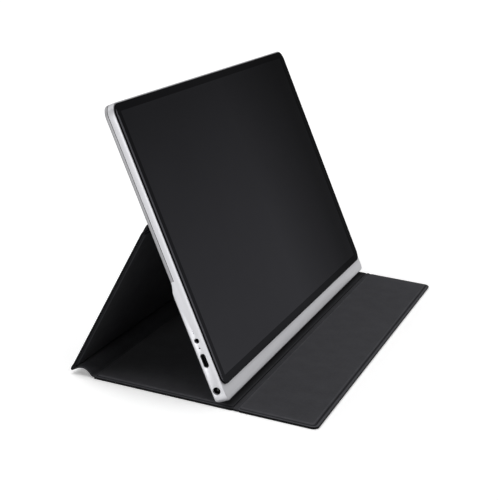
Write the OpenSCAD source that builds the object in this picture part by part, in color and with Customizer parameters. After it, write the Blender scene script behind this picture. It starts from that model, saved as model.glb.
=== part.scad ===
// Portable 15.6-inch monitor standing on its folding leather cover.
// The cover is one folio of four stiff panels and a soft spine. The short back
// panel holds the monitor, the strut props it up, the base lies on the table
// under the monitor's lower edge, and the flap lies in front of it.
// X runs along the screen, Y away from the viewer, Z up. All sizes are in mm.

/* [Screen] */
// Width of the housing
housing_w = 366; // [350:1:380]
// Height of the housing, along the screen
housing_h = 221; // [212:0.5:230]
// Thickness of the upper part
thin_depth = 8.5; // [8:0.1:9.5]
// Thickness of the lower part, which holds the electronics
thick_depth = 11.1; // [10.8:0.1:12.5]
// Height of the lower, thicker part
thick_h = 80; // [70:1:85]
// Length of the curved step between the two thicknesses
step_len = 12; // [8:1:20]
// Height of the bare strip below the glass
chin_h = 10.8; // [8:0.1:14]
// Radius of the housing's upper corners, seen from the front
corner_r = 9; // [6:0.5:10]
// Radius of the housing's lower corners
chin_corner_r = 4.5; // [2:0.5:6]
// Radius of the rounded edge at the bottom of the back
bottom_round = 5; // [3:0.5:5]
// Distance of the cover glass in front of the housing's rim
glass_proud = 1.2; // [0.9:0.1:1.3]
// Width of the housing's rim round the glass
rim_w = 1; // [0.8:0.1:2]

/* [Stand] */
// Lean of the screen from the vertical, in degrees
tilt = 28; // [20:1:32]
// Height of the back panel's crease, along the screen
crease_v = 131; // [128:0.5:136]
// Distance of the strut's foot behind the screen's lower edge
strut_foot_y = 121.8; // [112:0.1:128]

/* [Cover] */
// Width of the cover
cover_w = 368; // [366:1:376]
// Thickness of a stiff panel
panel_t = 2.5; // [2.2:0.1:3]
// Length of the flap in front of the screen
flap_len = 58.5; // [40:0.5:80]
// Length of the soft spine strip between base and strut
spine_len = 16; // [14:0.5:18]
// Width of the pressed rim round each stiff panel
rim_press = 3.5; // [2:0.5:5]
// Height to which the soft spine arches
spine_rise = 4; // [2:0.1:5]

/* [Ports] */
// Depth of the ports' centre line behind the glass face
port_depth = 6.6; // [6.4:0.1:6.7]
// Height of the power inlet's centre along the screen
dc_v = 9.4; // [8:0.1:10]
// Height of the USB-C socket's centre
usb_v = 32.5; // [28:0.1:34]
// Height of the status light
light_v = 42; // [40.5:0.1:42.5]
// Height of the audio jack's centre
jack_v = 47.5; // [47:0.1:50]

/* [Hidden] */
$fn = 48;

silver = [0.84, 0.84, 0.86];
leather = [0.16, 0.16, 0.17];
lining = [0.20, 0.20, 0.21];
board_grey = [0.35, 0.33, 0.30];
steel = [0.70, 0.71, 0.73];
pcb_green = [0.10, 0.30, 0.20];
eps = 0.01;

// Layers of a panel: outer skin, stiff board, inner lining
skin_t = 0.6;
lining_t = 0.6;
board_t = panel_t - skin_t - lining_t;
rim_t = 1.3;
crease_t = 1.1;
crease_half = 1.5;
panel_corner_r = 5;
crease_corner_r = 0.8;
// Rim of a panel at a crease, and the gap between a crease's end and the cover's side
end_rim = 2.2;
crease_inset = 0.8;

// Magnets in the back panel and the flap, as [width, length]
magnet_x = [-130, -45, 45, 130];
magnet_v = 180;
back_magnet = [30, 18];
flap_magnet = [24, 6];
flap_magnet_y = 9;
flap_magnet_x = [-120, 120];

// Layers behind the glass
glass_t = 1.1;
gasket_t = glass_proud - 0.75;
cell_t = 1.0;
guide_t = 0.6;
tray_t = 0.3;
cell_d = glass_t + gasket_t;
guide_d = cell_d + cell_t;
tray_d = guide_d + guide_t;
tray_back_d = tray_d + tray_t;
flex_t = 0.12;
glass_w = housing_w - 2 * rim_w;
glass_top = housing_h - rim_w;
glass_fit = 0.1;
glass_corner_r = corner_r - rim_w;
glass_chamfer = [0.45, 2.2];
panel_half_w = 174.5;
panel_v0 = 15.5;
panel_v1 = 216.5;

// Housing walls, edges and seams
wall = 2.2;
front_chamfer = 0.35;
back_chamfer = 1;
seam_groove = [0.3, 0.4];
inner_corner_r = corner_r - wall;
floor_d = tray_back_d + 0.15;
seam_d = 6;
step_top = thick_h + step_len;
lid_t = 1.2;
lid_d = thick_depth - lid_t;
lid_half_w = housing_w / 2 - 6;
lid_v0 = 7;
lid_v1 = thick_h - 1.5;
inner_half_w = housing_w / 2 - wall;
bay_v0 = 4.5;
bay_v1 = thick_h - 3;
board_d = 7.9;
board_thick = 1.0;
board_half_w = 179;
board_v0 = 15;
board_v1 = 68;
board_screw_places = [-85, 0, 85];
board_screw_v = 65;
board_screw_r = 0.6;

// Ports, on the left-hand side wall
side_x = housing_w / 2;
jack_r = 1.8;
jack_len = 13;
usb_w = 9;
usb_h = 3.2;
usb_shell = 0.3;
usb_len = 7.4;
usb_window = [10.6, 4];
dc_r = 2.85;
dc_len = 9;
dc_pin_r = 1;
dc_pin_depth = 3;
dc_block_d = [3.3, 9.7];
tab_t = 0.3;
light_r = 0.6;
light_depth = 1.2;
dot_places = [jack_v + 5.5, jack_v + 7.5];
dot_r = 0.4;

// Buttons, on the right-hand side wall
button_gap = 0.2;
rocker_gap = 0.5;
button_h = 2.4;
button_proud = 0.5;
power_v = 50;
power_len = 8;
rocker_v = 31;
rocker_len = 16;
flange_t = 0.8;
flange_over = 0.7;
button_travel = 0.4;

// How the screen, strut and spine stand
seat_gap = 0.25;
screen_z = panel_t + seat_gap + bottom_round + (thick_depth - bottom_round) * sin(tilt)
    - bottom_round * cos(tilt);
fold_gap = 0.3;
back_gap = 0.1;
crease_pivot_d = thick_depth + fold_gap;
half_t = panel_t / 2;
foot_z = 3;
groove_y = -5;
groove_half = 1.4;
base_y0 = groove_y + groove_half;
spine_drop = foot_z - half_t;
base_pivot = [strut_foot_y - sqrt(pow(spine_len, 2) - pow(spine_drop, 2)), half_t];
foot_pivot = [strut_foot_y, foot_z];
crease_pivot = screen_point(crease_pivot_d, crease_v);
flap_pivot = [groove_y, 0.7];
base_len = base_pivot[0] - crease_half - base_y0;
flap_y0 = groove_y - groove_half - flap_len;
pivot_span = norm(crease_pivot - foot_pivot);
strut_lean = atan2(foot_pivot[0] - crease_pivot[0], crease_pivot[1] - foot_pivot[1])
    - asin(half_t / pivot_span);
strut_span = sqrt(pow(pivot_span, 2) - pow(half_t, 2));
strut_len = strut_span - 2 * crease_half;
back_panel_v0 = crease_v + 7;
back_panel_len = housing_h - 4 - back_panel_v0;
back_panel_w = housing_w - 14;
back_magnet_y = magnet_v - back_panel_v0;
// The leather turns a little below the strut's foot
heel = 0.5;
// Overlap of the two widths of the upper crease
lap = 0.5;
// The origin is the centre of the whole footprint
rear_y = strut_point(half_t, heel)[0];
origin_shift = -(flap_y0 + rear_y) / 2;

// A point of the screen's side view, from its depth and height, as [y, z]
function screen_point(d, v) =
    [v * sin(tilt) + d * cos(tilt), screen_z + v * cos(tilt) - d * sin(tilt)];

// A point of the strut's side view, from its outward offset and its height
function strut_point(n, s) =
    [foot_pivot[0] + n * cos(strut_lean) - s * sin(strut_lean),
     foot_pivot[1] + n * sin(strut_lean) + s * cos(strut_lean)];

// A point of the arched spine, s along its chord and offset o above its middle
function spine_point(s, o) =
    let (u = (foot_pivot - base_pivot) / spine_len)
    [base_pivot[0] + u[0] * s - u[1] * (spine_rise * sin(180 * s / spine_len) + o),
     base_pivot[1] + u[1] * s + u[0] * (spine_rise * sin(180 * s / spine_len) + o)];

// Points of a quarter circle, from angle a round [x, y]
function quarter(x, y, r, a, n = 8) =
    [for (i = [0:n]) [x + r * cos(a + 90 * i / n), y + r * sin(a + 90 * i / n)]];

function reversed(points) = [for (i = [len(points) - 1:-1:0]) points[i]];

// Outline of a rectangle with one radius at its lower and one at its upper corners
function rounded(half_w, y0, y1, r0, r1) = concat(
    quarter(half_w - r1, y1 - r1, r1, 0), quarter(-half_w + r1, y1 - r1, r1, 90),
    quarter(-half_w + r0, y0 + r0, r0, 180), quarter(half_w - r0, y0 + r0, r0, 270));

// The frame of the leaning screen: X, depth behind the glass, height along it
module in_screen() { translate([0, 0, screen_z]) rotate([-tilt, 0, 0]) children(); }

// The frame of a panel on the strut: X, length upwards, thickness towards the lining
module in_strut() {
    foot = strut_point(half_t, crease_half);
    translate([0, foot[0], foot[1]]) rotate([90 + strut_lean, 0, 0]) children();
}

// The frame of the back panel, which lies on the back of the screen
module in_back_panel() {
    in_screen() translate([0, thin_depth + panel_t, back_panel_v0]) rotate([90, 0, 0]) children();
}

// Extrudes a side view, drawn as [y, z] points, along X
module along_x(half_w) {
    rotate([90, 0, 90]) translate([0, 0, -half_w]) linear_extrude(2 * half_w) children();
}

// A plate of the screen between two depths, from its front outline
module slab(d0, d1, half_w, v0, v1, r0 = 0.5, r1 = 0.5) {
    translate([0, d1, 0]) rotate([90, 0, 0]) linear_extrude(d1 - d0)
        polygon(rounded(half_w, v0, v1, r0, r1));
}

// A box in the screen's frame, from its low and high corners
module span_box(low, high) { translate(low) cube(high - low); }

// A bore or pin along X at one place of the screen's side
module side_rod(x0, x1, d, v, r) { translate([x0, d, v]) rotate([0, 90, 0]) cylinder(h = x1 - x0, r = r); }

// A slot or key along X, longer along the screen's height
module side_slot(x0, x1, d, v, length, height) {
    translate([x0, d, v]) rotate([90, 0, 90]) linear_extrude(x1 - x0) {
        square([height, length - height], center = true);
        for (end = [-1, 1]) translate([0, end * (length - height) / 2]) circle(d = height);
    }
}

// ---------------------------------------------------------------- the screen

// Side view of the whole housing, with the curved step in its back
function housing_profile() = let (n = 14, k = 0.6, q = 1.2) concat(
    [[glass_proud, k], [glass_proud, housing_h - k]],
    [[glass_proud + k, housing_h]],
    reversed(quarter(thin_depth - q, housing_h - q, q, 0)),
    [for (i = [0:n]) [thin_depth + (thick_depth - thin_depth) * (1 - cos(180 * i / n)) / 2,
                      step_top - step_len * i / n]],
    reversed(quarter(thick_depth - bottom_round, bottom_round, bottom_round, 270)),
    [[glass_proud + k, 0]]);

// Cross-section of the housing, from side to side, with its chamfered edges
function housing_section() = let (w = housing_w / 2) [
    [-w + front_chamfer, glass_proud], [w - front_chamfer, glass_proud],
    [w, glass_proud + front_chamfer], [w, thick_depth - back_chamfer],
    [w - back_chamfer, thick_depth], [-w + back_chamfer, thick_depth],
    [-w, thick_depth - back_chamfer], [-w, glass_proud + front_chamfer]];

// The housing's outer form, filled
module housing_solid() {
    intersection() {
        along_x(housing_w / 2) polygon(housing_profile());
        slab(0, thick_depth + 1, housing_w / 2, 0, housing_h, chin_corner_r, corner_r);
        linear_extrude(housing_h) polygon(housing_section());
    }
}

// Part of the housing that the separate upper rear plate fills
module rear_plate_space(gap) {
    span_box([-housing_w, seam_d - gap, step_top - gap], [housing_w, thick_depth + 2, housing_h + 5]);
}

// Cross-section of the glass over a half width or between two heights, chamfered in front
function glass_section(low, high) = let (drop = glass_chamfer[0], run = glass_chamfer[1]) [
    [low + run, 0], [high - run, 0], [high, drop], [high, glass_t], [low, glass_t], [low, drop]];

module cover_glass() {
    color([0.05, 0.05, 0.06]) in_screen() intersection() {
        slab(0, glass_t, glass_w / 2, chin_h, glass_top, glass_corner_r, glass_corner_r);
        linear_extrude(housing_h) polygon(glass_section(-glass_w / 2, glass_w / 2));
        along_x(housing_w / 2) polygon([for (p = glass_section(chin_h, glass_top)) [p[1], p[0]]]);
    }
}

// A slab with the outline of the glass, moved inwards
module gasket_slab(d0, d1, inset) {
    slab(d0, d1, glass_w / 2 - inset, chin_h + inset, glass_top - inset, glass_corner_r - inset,
        glass_corner_r - inset);
}

module glass_gasket() {
    color([0.1, 0.1, 0.1]) in_screen() difference() {
        gasket_slab(glass_t, cell_d, 0.5);
        gasket_slab(glass_t - 1, cell_d + 1, 3);
    }
}

module lcd_cell() {
    color([0.12, 0.12, 0.14]) in_screen()
        slab(cell_d, guide_d, panel_half_w, panel_v0, panel_v1);
}

// The light guide leaves room along its lower edge for the LED strip
module light_guide() {
    color([0.9, 0.92, 0.95]) in_screen()
        slab(guide_d, tray_d, panel_half_w - 1, panel_v0 + 4, panel_v1 - 1);
}

module led_strip() {
    color([0.95, 0.9, 0.6]) in_screen() {
        span_box([-panel_half_w + 4, guide_d, panel_v0 + 1], [panel_half_w - 4, guide_d + 0.3, panel_v0 + 3.5]);
        for (x = [-160:20:160])
            span_box([x - 2, guide_d + 0.3, panel_v0 + 2], [x + 2, tray_d, panel_v0 + 3.5]);
    }
}

module backlight_tray() {
    color(steel) in_screen() difference() {
        slab(tray_d, tray_back_d, panel_half_w, panel_v0, panel_v1);
        for (x = [-120:60:120]) tray_window(x);
    }
}

// A lightening hole through the tray
module tray_window(x) {
    half_hole = 9;
    span_box([x - half_hole, tray_d - 1, 192], [x + half_hole, tray_back_d + 1, 204]);
}

// One-piece front frame: side walls, chin, and the whole thicker lower part
module housing_frame() {
    color(silver) in_screen() difference() {
        housing_solid();
        // seat of the glass
        slab(-1, cell_d, glass_w / 2 + glass_fit, chin_h - glass_fit, glass_top + glass_fit,
            glass_corner_r, glass_corner_r);
        // bay of the display panel, open to the back in the upper part
        slab(cell_d - eps, floor_d, panel_half_w + 0.8, panel_v0 - 0.8, panel_v1 + 0.8, 1, 1);
        slab(tray_back_d, seam_d + eps, inner_half_w, step_top - 4, housing_h - wall, 3, inner_corner_r);
        rear_plate_space(0);
        // bay of the electronics, closed by the lower back cover
        slab(floor_d, lid_d + eps, inner_half_w, bay_v0, bay_v1, 2, 2);
        slab(lid_d, thick_depth + 1, lid_half_w, lid_v0, lid_v1, 3, 3);
        left_ports();
        button_windows();
        // pocket for the power inlet's block
        span_box([-inner_half_w, dc_block_d[0], dc_v - 3.3], [-side_x + dc_len + 1.1, lid_d, dc_v + 3.5]);
    }
    color(silver) in_screen() {
        for (p = lid_screw_places()) translate([p[0], lid_d, p[1]]) rotate([90, 0, 0]) lid_post();
        for (x = board_screw_places) {
            board_ledge(x, board_screw_v - 3, bay_v1 + eps);
            board_ledge(x, board_v0 - 3, board_v0 + 3);
        }
    }
}

// Ports in the left-hand wall
module left_ports() {
    side_rod(-side_x - 1, -inner_half_w + 1, port_depth, jack_v, jack_r + 0.05);
    side_slot(-side_x - 1, -inner_half_w + 1, port_depth, usb_v, usb_window[0], usb_window[1]);
    side_rod(-side_x - 1, -inner_half_w + 1, port_depth, dc_v, dc_r + 0.05);
    side_rod(-side_x - 1, -inner_half_w + 1, port_depth, light_v, light_r);
    for (v = dot_places) side_rod(-side_x - 1, -side_x + light_depth, port_depth, v, dot_r);
}

module button_windows() {
    side_slot(inner_half_w - 1, side_x + 1, port_depth, power_v, power_len + 2 * button_gap,
        button_h + 2 * button_gap);
    side_slot(inner_half_w - 1, side_x + 1, port_depth, rocker_v, rocker_len + 2 * button_gap,
        button_h + 2 * button_gap);
}

// Places of the lower cover's screws, as [x, v]
function lid_screw_places() = [for (x = [-170, -60, 60, 170], v = [11, lid_v1 - 3.2]) [x, v]];

module lid_post() {
    post_len = lid_d - floor_d;
    difference() {
        cylinder(h = post_len, r = 2);
        translate([0, 0, -eps]) cylinder(h = 3.5, r = 0.8);
    }
}

// A ledge that the main board lies on, with the bore of its screw
module board_ledge(x, v0, v1) {
    difference() {
        span_box([x - 3, floor_d - eps, v0], [x + 3, board_d, v1]);
        translate([x, floor_d - 1, board_screw_v]) rotate([-90, 0, 0]) cylinder(h = 8, r = board_screw_r + 0.05);
    }
}

// Ribbed plate that stiffens the thin upper part behind the display
module mid_frame() {
    v0 = step_top + 2;
    v1 = housing_h - wall - 1;
    columns = 7;
    rows = 3;
    pitch_x = 2 * (inner_half_w - 2) / columns;
    pitch_v = (v1 - v0) / rows;
    color([0.55, 0.56, 0.58]) in_screen() difference() {
        slab(tray_back_d, seam_d, inner_half_w - 1, v0, v1, 2, inner_corner_r - 0.8);
        for (i = [0:columns - 1], j = [0:rows - 1])
            slab_pocket(-inner_half_w + 2 + pitch_x * (i + 0.5), v0 + pitch_v * (j + 0.5),
                pitch_x / 2 - 1.5, pitch_v / 2 - 1.5);
    }
}

module slab_pocket(x, v, half_x, half_v) {
    span_box([x - half_x, tray_back_d + 0.6, v - half_v], [x + half_x, seam_d + 1, v + half_v]);
}

// Upper back cover: a shallow shell whose edge shows as a strip behind the seam
module rear_plate() {
    color([0.68, 0.68, 0.70]) in_screen() difference() {
        intersection() {
            housing_solid();
            rear_plate_space(0);
        }
        slab(seam_d - 1, thin_depth - 1, inner_half_w, step_top + 1.5, housing_h - wall, 3, inner_corner_r);
        // shadow groove along the seam
        difference() {
            slab(seam_d - 1, seam_d + seam_groove[0], housing_w, step_top - 1, housing_h + 5);
            slab(seam_d - 2, seam_d + 1, housing_w / 2 - seam_groove[1], step_top - 2,
                housing_h - seam_groove[1], 1, corner_r - seam_groove[1]);
        }
    }
}

// Lower back cover with speaker holes and countersunk screw holes
module lower_back_cover() {
    color(silver) in_screen() difference() {
        slab(lid_d, thick_depth, lid_half_w - 0.1, lid_v0 + 0.1, lid_v1 - 0.1, 3, 3);
        for (p = lid_screw_places()) translate([p[0], lid_d - 1, p[1]]) rotate([-90, 0, 0]) {
            cylinder(h = 4, r = 1.0);
            translate([0, 0, 1 + lid_t - 0.6]) cylinder(h = 2, r = 1.7);
        }
        for (side = [-1, 1], i = [0:8], j = [0:2])
            translate([side * 120 + (i - 4) * 2.6, lid_d - 1, 26 + j * 2.6])
                rotate([-90, 0, 0]) cylinder(h = 4, r = 0.7, $fn = 16);
    }
}

// Notch in the board's left edge for a socket
module board_notch(depth, v, half) {
    span_box([-board_half_w - 1, board_d - 1, v - half], [-side_x + depth, board_d + 2, v + half]);
}

module main_board() {
    color(pcb_green) in_screen() difference() {
        slab(board_d, board_d + board_thick, board_half_w, board_v0, board_v1, 1, 1);
        // cut-outs round the speakers, the lid's posts and the sockets
        for (side = [-1, 1]) span_box([side * 120 - 20, board_d - 1, 10], [side * 120 + 20, board_d + 2, 44]);
        for (p = lid_screw_places()) translate([p[0], board_d + 2, p[1]]) rotate([90, 0, 0]) cylinder(h = 4, r = 2.4);
        for (x = board_screw_places) translate([x, board_d - 1, board_screw_v])
            rotate([-90, 0, 0]) cylinder(h = 3, r = board_screw_r + 0.05);
        board_notch(jack_len + 1.5, jack_v, 3.2);
        board_notch(usb_len + 0.2, usb_v, usb_w / 2 + usb_shell + 0.2);
    }
}

// Soldering tabs of a socket, which lie on the board's front face
module solder_tabs(x0, x1, v, inner, outer) {
    for (side = [-1, 1])
        span_box([-side_x + x0, board_d - tab_t, v + min(side * inner, side * outer)],
            [-side_x + x1, board_d, v + max(side * inner, side * outer)]);
}

module shield_can() {
    color(steel) in_screen() difference() {
        span_box([-40, board_d - 2.4, 20], [40, board_d, 56]);
        span_box([-39.7, board_d - 2.1, 20.3], [39.7, board_d + 1, 55.7]);
    }
}

module usb_c_socket() {
    color(steel) in_screen() difference() {
        union() {
            side_slot(-side_x + 0.4, -side_x + usb_len, port_depth, usb_v, usb_w + 2 * usb_shell,
                usb_h + 2 * usb_shell);
            solder_tabs(4.2, usb_len - 0.4, usb_v, usb_w / 2 - 0.6, usb_w / 2 + 1.5);
        }
        side_slot(-side_x - 1, -side_x + usb_len - 0.6, port_depth, usb_v, usb_w, usb_h);
    }
}

module usb_c_tongue() {
    color([0.1, 0.1, 0.1]) in_screen()
        span_box([-side_x + 1.4, port_depth - 0.35, usb_v - 3.3],
            [-side_x + usb_len - 0.6, port_depth + 0.35, usb_v + 3.3]);
}

// 3.5 mm headphone socket: a body with a blind bore and a lip in the side wall
module audio_jack() {
    color([0.12, 0.12, 0.12]) in_screen() difference() {
        union() {
            span_box([-inner_half_w + 0.1, port_depth - 2, jack_v - 2.9],
                [-side_x + jack_len + 1.2, port_depth + 2, jack_v + 2.9]);
            solder_tabs(5, 11, jack_v, 2.9 - eps, 4.6);
        }
        side_rod(-side_x - 1, -side_x + jack_len, port_depth, jack_v, jack_r);
    }
}

module dc_socket() {
    color([0.1, 0.1, 0.1]) in_screen() difference() {
        span_box([-inner_half_w + 0.1, dc_block_d[0], dc_v - 3.2],
            [-side_x + dc_len + 1, dc_block_d[1], dc_v + 3.4]);
        side_rod(-side_x - 1, -side_x + dc_len, port_depth, dc_v, dc_r);
    }
}

module dc_pin() {
    color(steel) in_screen() side_rod(-side_x + dc_pin_depth, -side_x + dc_len, port_depth, dc_v, dc_pin_r);
}

module status_light_pipe() {
    color([0.9, 0.95, 1]) in_screen() {
        side_rod(-side_x + light_depth, -inner_half_w + 1.2, port_depth, light_v, light_r - 0.02);
        side_rod(-inner_half_w + 1.2, -inner_half_w + 2.6, port_depth, light_v, 1.0);
    }
}

// Daughter board that stands on the main board behind the buttons
module button_board() {
    color(pcb_green) in_screen()
        span_box([inner_half_w - 4, port_depth - 1.6, rocker_v - 9], [inner_half_w - 3.2, board_d, power_v + 5]);
}

// Switches behind the power button and both ends of the rocker
module tact_switches() {
    back = inner_half_w - 3.2;
    reach = inner_half_w - flange_t - button_gap - button_travel - 0.25;
    color([0.2, 0.2, 0.2]) in_screen() for (v = [power_v, rocker_v - 5, rocker_v + 5]) {
        span_box([back, port_depth - 1.2, v - 1.5], [reach - 0.5, port_depth + 1.2, v + 1.5]);
        side_rod(reach - 0.5, reach, port_depth, v, 0.7);
    }
}

// A key: its cap in the window and its wider flange, a gap behind the wall
module side_key(v, length, gap) {
    inner = inner_half_w - gap;
    side_slot(inner, side_x + button_proud, port_depth, v, length, button_h);
    side_slot(inner - flange_t, inner, port_depth, v, length + 2 * flange_over, button_h + 1.0);
}

module power_button() { color([0.75, 0.75, 0.77]) in_screen() side_key(power_v, power_len, button_gap); }

module menu_rocker() { color([0.75, 0.75, 0.77]) in_screen() side_key(rocker_v, rocker_len, rocker_gap); }

module speaker(side) {
    color([0.1, 0.1, 0.11]) in_screen() difference() {
        slab_at(side * 120, floor_d, lid_d, 17, 7, 27);
        translate([side * 120, lid_d + 1, 27]) rotate([90, 0, 0]) cylinder(h = 2.4, r = 5.5);
    }
}

// A rounded block between two depths, placed by the middle of its front view
module slab_at(x, d0, d1, half_x, half_v, v) {
    translate([x, 0, 0]) slab(d0, d1, half_x, v - half_v, v + half_v, 2, 2);
}

module speaker_left() { speaker(-1); }

module speaker_right() { speaker(1); }

// Leads from each speaker to the middle of the board
module speaker_leads() {
    lead_r = 0.5;
    color([0.7, 0.1, 0.1]) in_screen() for (side = [-1, 1])
        translate([side > 0 ? 58 : -103, board_d - lead_r, 32]) rotate([0, 90, 0]) cylinder(h = 45, r = lead_r, $fn = 16);
}

// Flat cable from the display panel to the board
module display_flex() {
    x = [63, 81];
    v = 58;
    color([0.75, 0.5, 0.15]) in_screen() {
        span_box([x[0], tray_back_d, v], [x[1], tray_back_d + flex_t, step_top]);
        span_box([x[0], tray_back_d, v], [x[1], board_d, v + flex_t]);
    }
}

module cover_screws() {
    color(steel) in_screen() for (p = lid_screw_places()) translate([p[0], 0, p[1]]) rotate([-90, 0, 0]) {
        translate([0, 0, thick_depth - 0.6]) cylinder(h = 0.5, r = 1.6);
        translate([0, 0, thick_depth - 4]) cylinder(h = 3.4, r = 0.8);
    }
}

module board_screws() {
    color(steel) in_screen() for (x = board_screw_places)
        translate([x, board_d + board_thick, board_screw_v]) rotate([-90, 0, 0]) {
            cylinder(h = 0.7, r = 1.5);
            translate([0, 0, -3]) cylinder(h = 3, r = board_screw_r);
        }
}

// Steel plates inside the upper back, which the back panel's magnets hold on to
module steel_plates() {
    color(steel) in_screen() for (x = magnet_x)
        span_box([x - 16, thin_depth - 1.6, magnet_v - 10], [x + 16, thin_depth - 1, magnet_v + 10]);
}

// ---------------------------------------------------------------- the cover

// Outline of a panel's board, inside its pressed rim; e0 and e1 are the rims at its ends
module board_outline(w, l, e0, e1, grow = 0) {
    polygon(rounded(w / 2 - rim_press + grow, e0 - grow, l - e1 + grow, 1.5, 1.5));
}

module panel_board(w, l, e0, e1) {
    color(board_grey) translate([0, 0, skin_t]) linear_extrude(board_t) board_outline(w, l, e0, e1);
}

module panel_skin(w, l, r0, r1) {
    color(leather) linear_extrude(skin_t) polygon(rounded(w / 2, 0, l, r0, r1));
}

// The lining covers the board and is pressed down on the skin all round it
module panel_lining(w, l, e0, e1, r0, r1) {
    color(lining) difference() {
        union() {
            translate([0, 0, skin_t]) linear_extrude(rim_t - skin_t) polygon(rounded(w / 2, 0, l, r0, r1));
            translate([0, 0, skin_t]) linear_extrude(panel_t - skin_t) board_outline(w, l, e0, e1, lining_t);
        }
        translate([0, 0, skin_t - 1]) linear_extrude(1 + board_t) board_outline(w, l, e0, e1);
    }
}

// A strip of pressed leather from one end face to the next, by its side view
module crease(points, w) { color(leather) along_x(w / 2) polygon(points); }

// Bar magnets in the board of a panel
module magnets(places, y, size) {
    color([0.5, 0.5, 0.52]) for (x = places)
        translate([x - size[0] / 2, y - size[1] / 2, skin_t + eps]) cube([size[0], size[1], board_t - 2 * eps]);
}

module magnet_pockets(places, y, size) {
    for (x = places) translate([x - size[0] / 2 - 0.1, y - size[1] / 2 - 0.1, -1])
        cube([size[0] + 0.2, size[1] + 0.2, panel_t + 2]);
}

module back_panel_board() {
    in_back_panel() difference() {
        panel_board(back_panel_w, back_panel_len, end_rim, rim_press);
        magnet_pockets(magnet_x, back_magnet_y, back_magnet);
    }
}

module back_panel_skin() {
    in_back_panel() panel_skin(back_panel_w, back_panel_len, crease_corner_r, panel_corner_r);
}

module back_panel_lining() {
    in_back_panel() panel_lining(back_panel_w, back_panel_len, end_rim, rim_press, crease_corner_r,
        panel_corner_r);
}

module back_panel_magnets() { in_back_panel() magnets(magnet_x, back_magnet_y, back_magnet); }

// Height at which the strut's outer face, moved inwards by an inset, meets a depth of the screen
function strut_meets(inset, depth) = let (turn = tilt + strut_lean, across = panel_t - inset)
    crease_v + across * sin(turn)
        + (crease_pivot_d + across * cos(turn) - depth) / tan(turn);

// Crease between strut and back panel: leather that goes on in line with the strut's
// outer face, touches the housing's back and ends, narrower, at the back panel's rim
module panel_crease() {
    top = strut_span - crease_half;
    d0 = thin_depth + back_gap;
    d1 = d0 + crease_t;
    rim_d = thin_depth + panel_t - rim_t + back_gap;
    bend_v = back_panel_v0 - crease_half;
    crease([strut_point(half_t, top), strut_point(half_t - crease_t, top),
        screen_point(d0, strut_meets(crease_t, d0)), screen_point(d0, bend_v),
        screen_point(d1, bend_v), screen_point(d1, strut_meets(0, d1))], housing_w);
    crease([screen_point(d1, bend_v - lap), screen_point(d0, bend_v - lap), screen_point(d0, bend_v),
        screen_point(rim_d, back_panel_v0), screen_point(rim_d + crease_t, back_panel_v0)], back_panel_w);
}

module strut_board() { in_strut() panel_board(cover_w, strut_len, end_rim, end_rim); }

module strut_skin() { in_strut() panel_skin(cover_w, strut_len, crease_corner_r, crease_corner_r); }

module strut_lining() {
    in_strut() panel_lining(cover_w, strut_len, end_rim, end_rim, crease_corner_r, crease_corner_r);
}

// Crease between the spine and the strut's foot
module strut_crease() {
    s = spine_len - crease_half;
    inner = half_t - crease_t;
    crease([spine_point(s, -crease_t / 2), strut_point(inner, -crease_t), strut_point(half_t - heel, -heel),
        strut_point(half_t, heel), strut_point(half_t, crease_half), strut_point(inner, crease_half),
        strut_point(inner, crease_t / 2), spine_point(s, crease_t / 2)], cover_w - 2 * crease_inset);
}

// The arched spine has no board: only the skin and the lining
module spine_layer(o0, o1, tint) {
    n = 10;
    step = (spine_len - 2 * crease_half) / n;
    color(tint) along_x(cover_w / 2 - crease_inset) polygon(concat(
        [for (i = [0:n]) spine_point(crease_half + step * i, o0)],
        [for (i = [n:-1:0]) spine_point(crease_half + step * i, o1)]));
}

module spine_skin() { spine_layer(-crease_t / 2, 0, leather); }

module spine_lining() { spine_layer(0, crease_t / 2, lining); }

// Crease between base and spine
module spine_crease() {
    rear = base_pivot[0] - crease_half;
    crease([[rear, 0.15], spine_point(crease_half, -crease_t / 2), spine_point(crease_half, crease_t / 2),
        [rear, rim_t]], cover_w - 2 * crease_inset);
}

module base_board() { translate([0, base_y0, 0]) panel_board(cover_w, base_len, rim_press, end_rim); }

module base_skin() {
    translate([0, base_y0, 0]) panel_skin(cover_w, base_len, crease_corner_r, crease_corner_r);
}

module base_lining() {
    translate([0, base_y0, 0])
        panel_lining(cover_w, base_len, rim_press, end_rim, crease_corner_r, crease_corner_r);
}

// Crease between base and flap
module flap_crease() {
    front = groove_y - groove_half;
    crease([[front, 0.15], [base_y0, 0.15], [base_y0, rim_t - 0.1], [groove_y, 0.9], [front, rim_t - 0.1]],
        cover_w - 2 * crease_inset);
}

module flap_board() {
    translate([0, flap_y0, 0]) difference() {
        panel_board(cover_w, flap_len, rim_press, end_rim);
        magnet_pockets(flap_magnet_x, flap_magnet_y, flap_magnet);
    }
}

module flap_skin() {
    translate([0, flap_y0, 0]) panel_skin(cover_w, flap_len, panel_corner_r, crease_corner_r);
}

module flap_lining() {
    translate([0, flap_y0, 0])
        panel_lining(cover_w, flap_len, rim_press, end_rim, panel_corner_r, crease_corner_r);
}

module flap_magnets() { translate([0, flap_y0, 0]) magnets(flap_magnet_x, flap_magnet_y, flap_magnet); }

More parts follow.
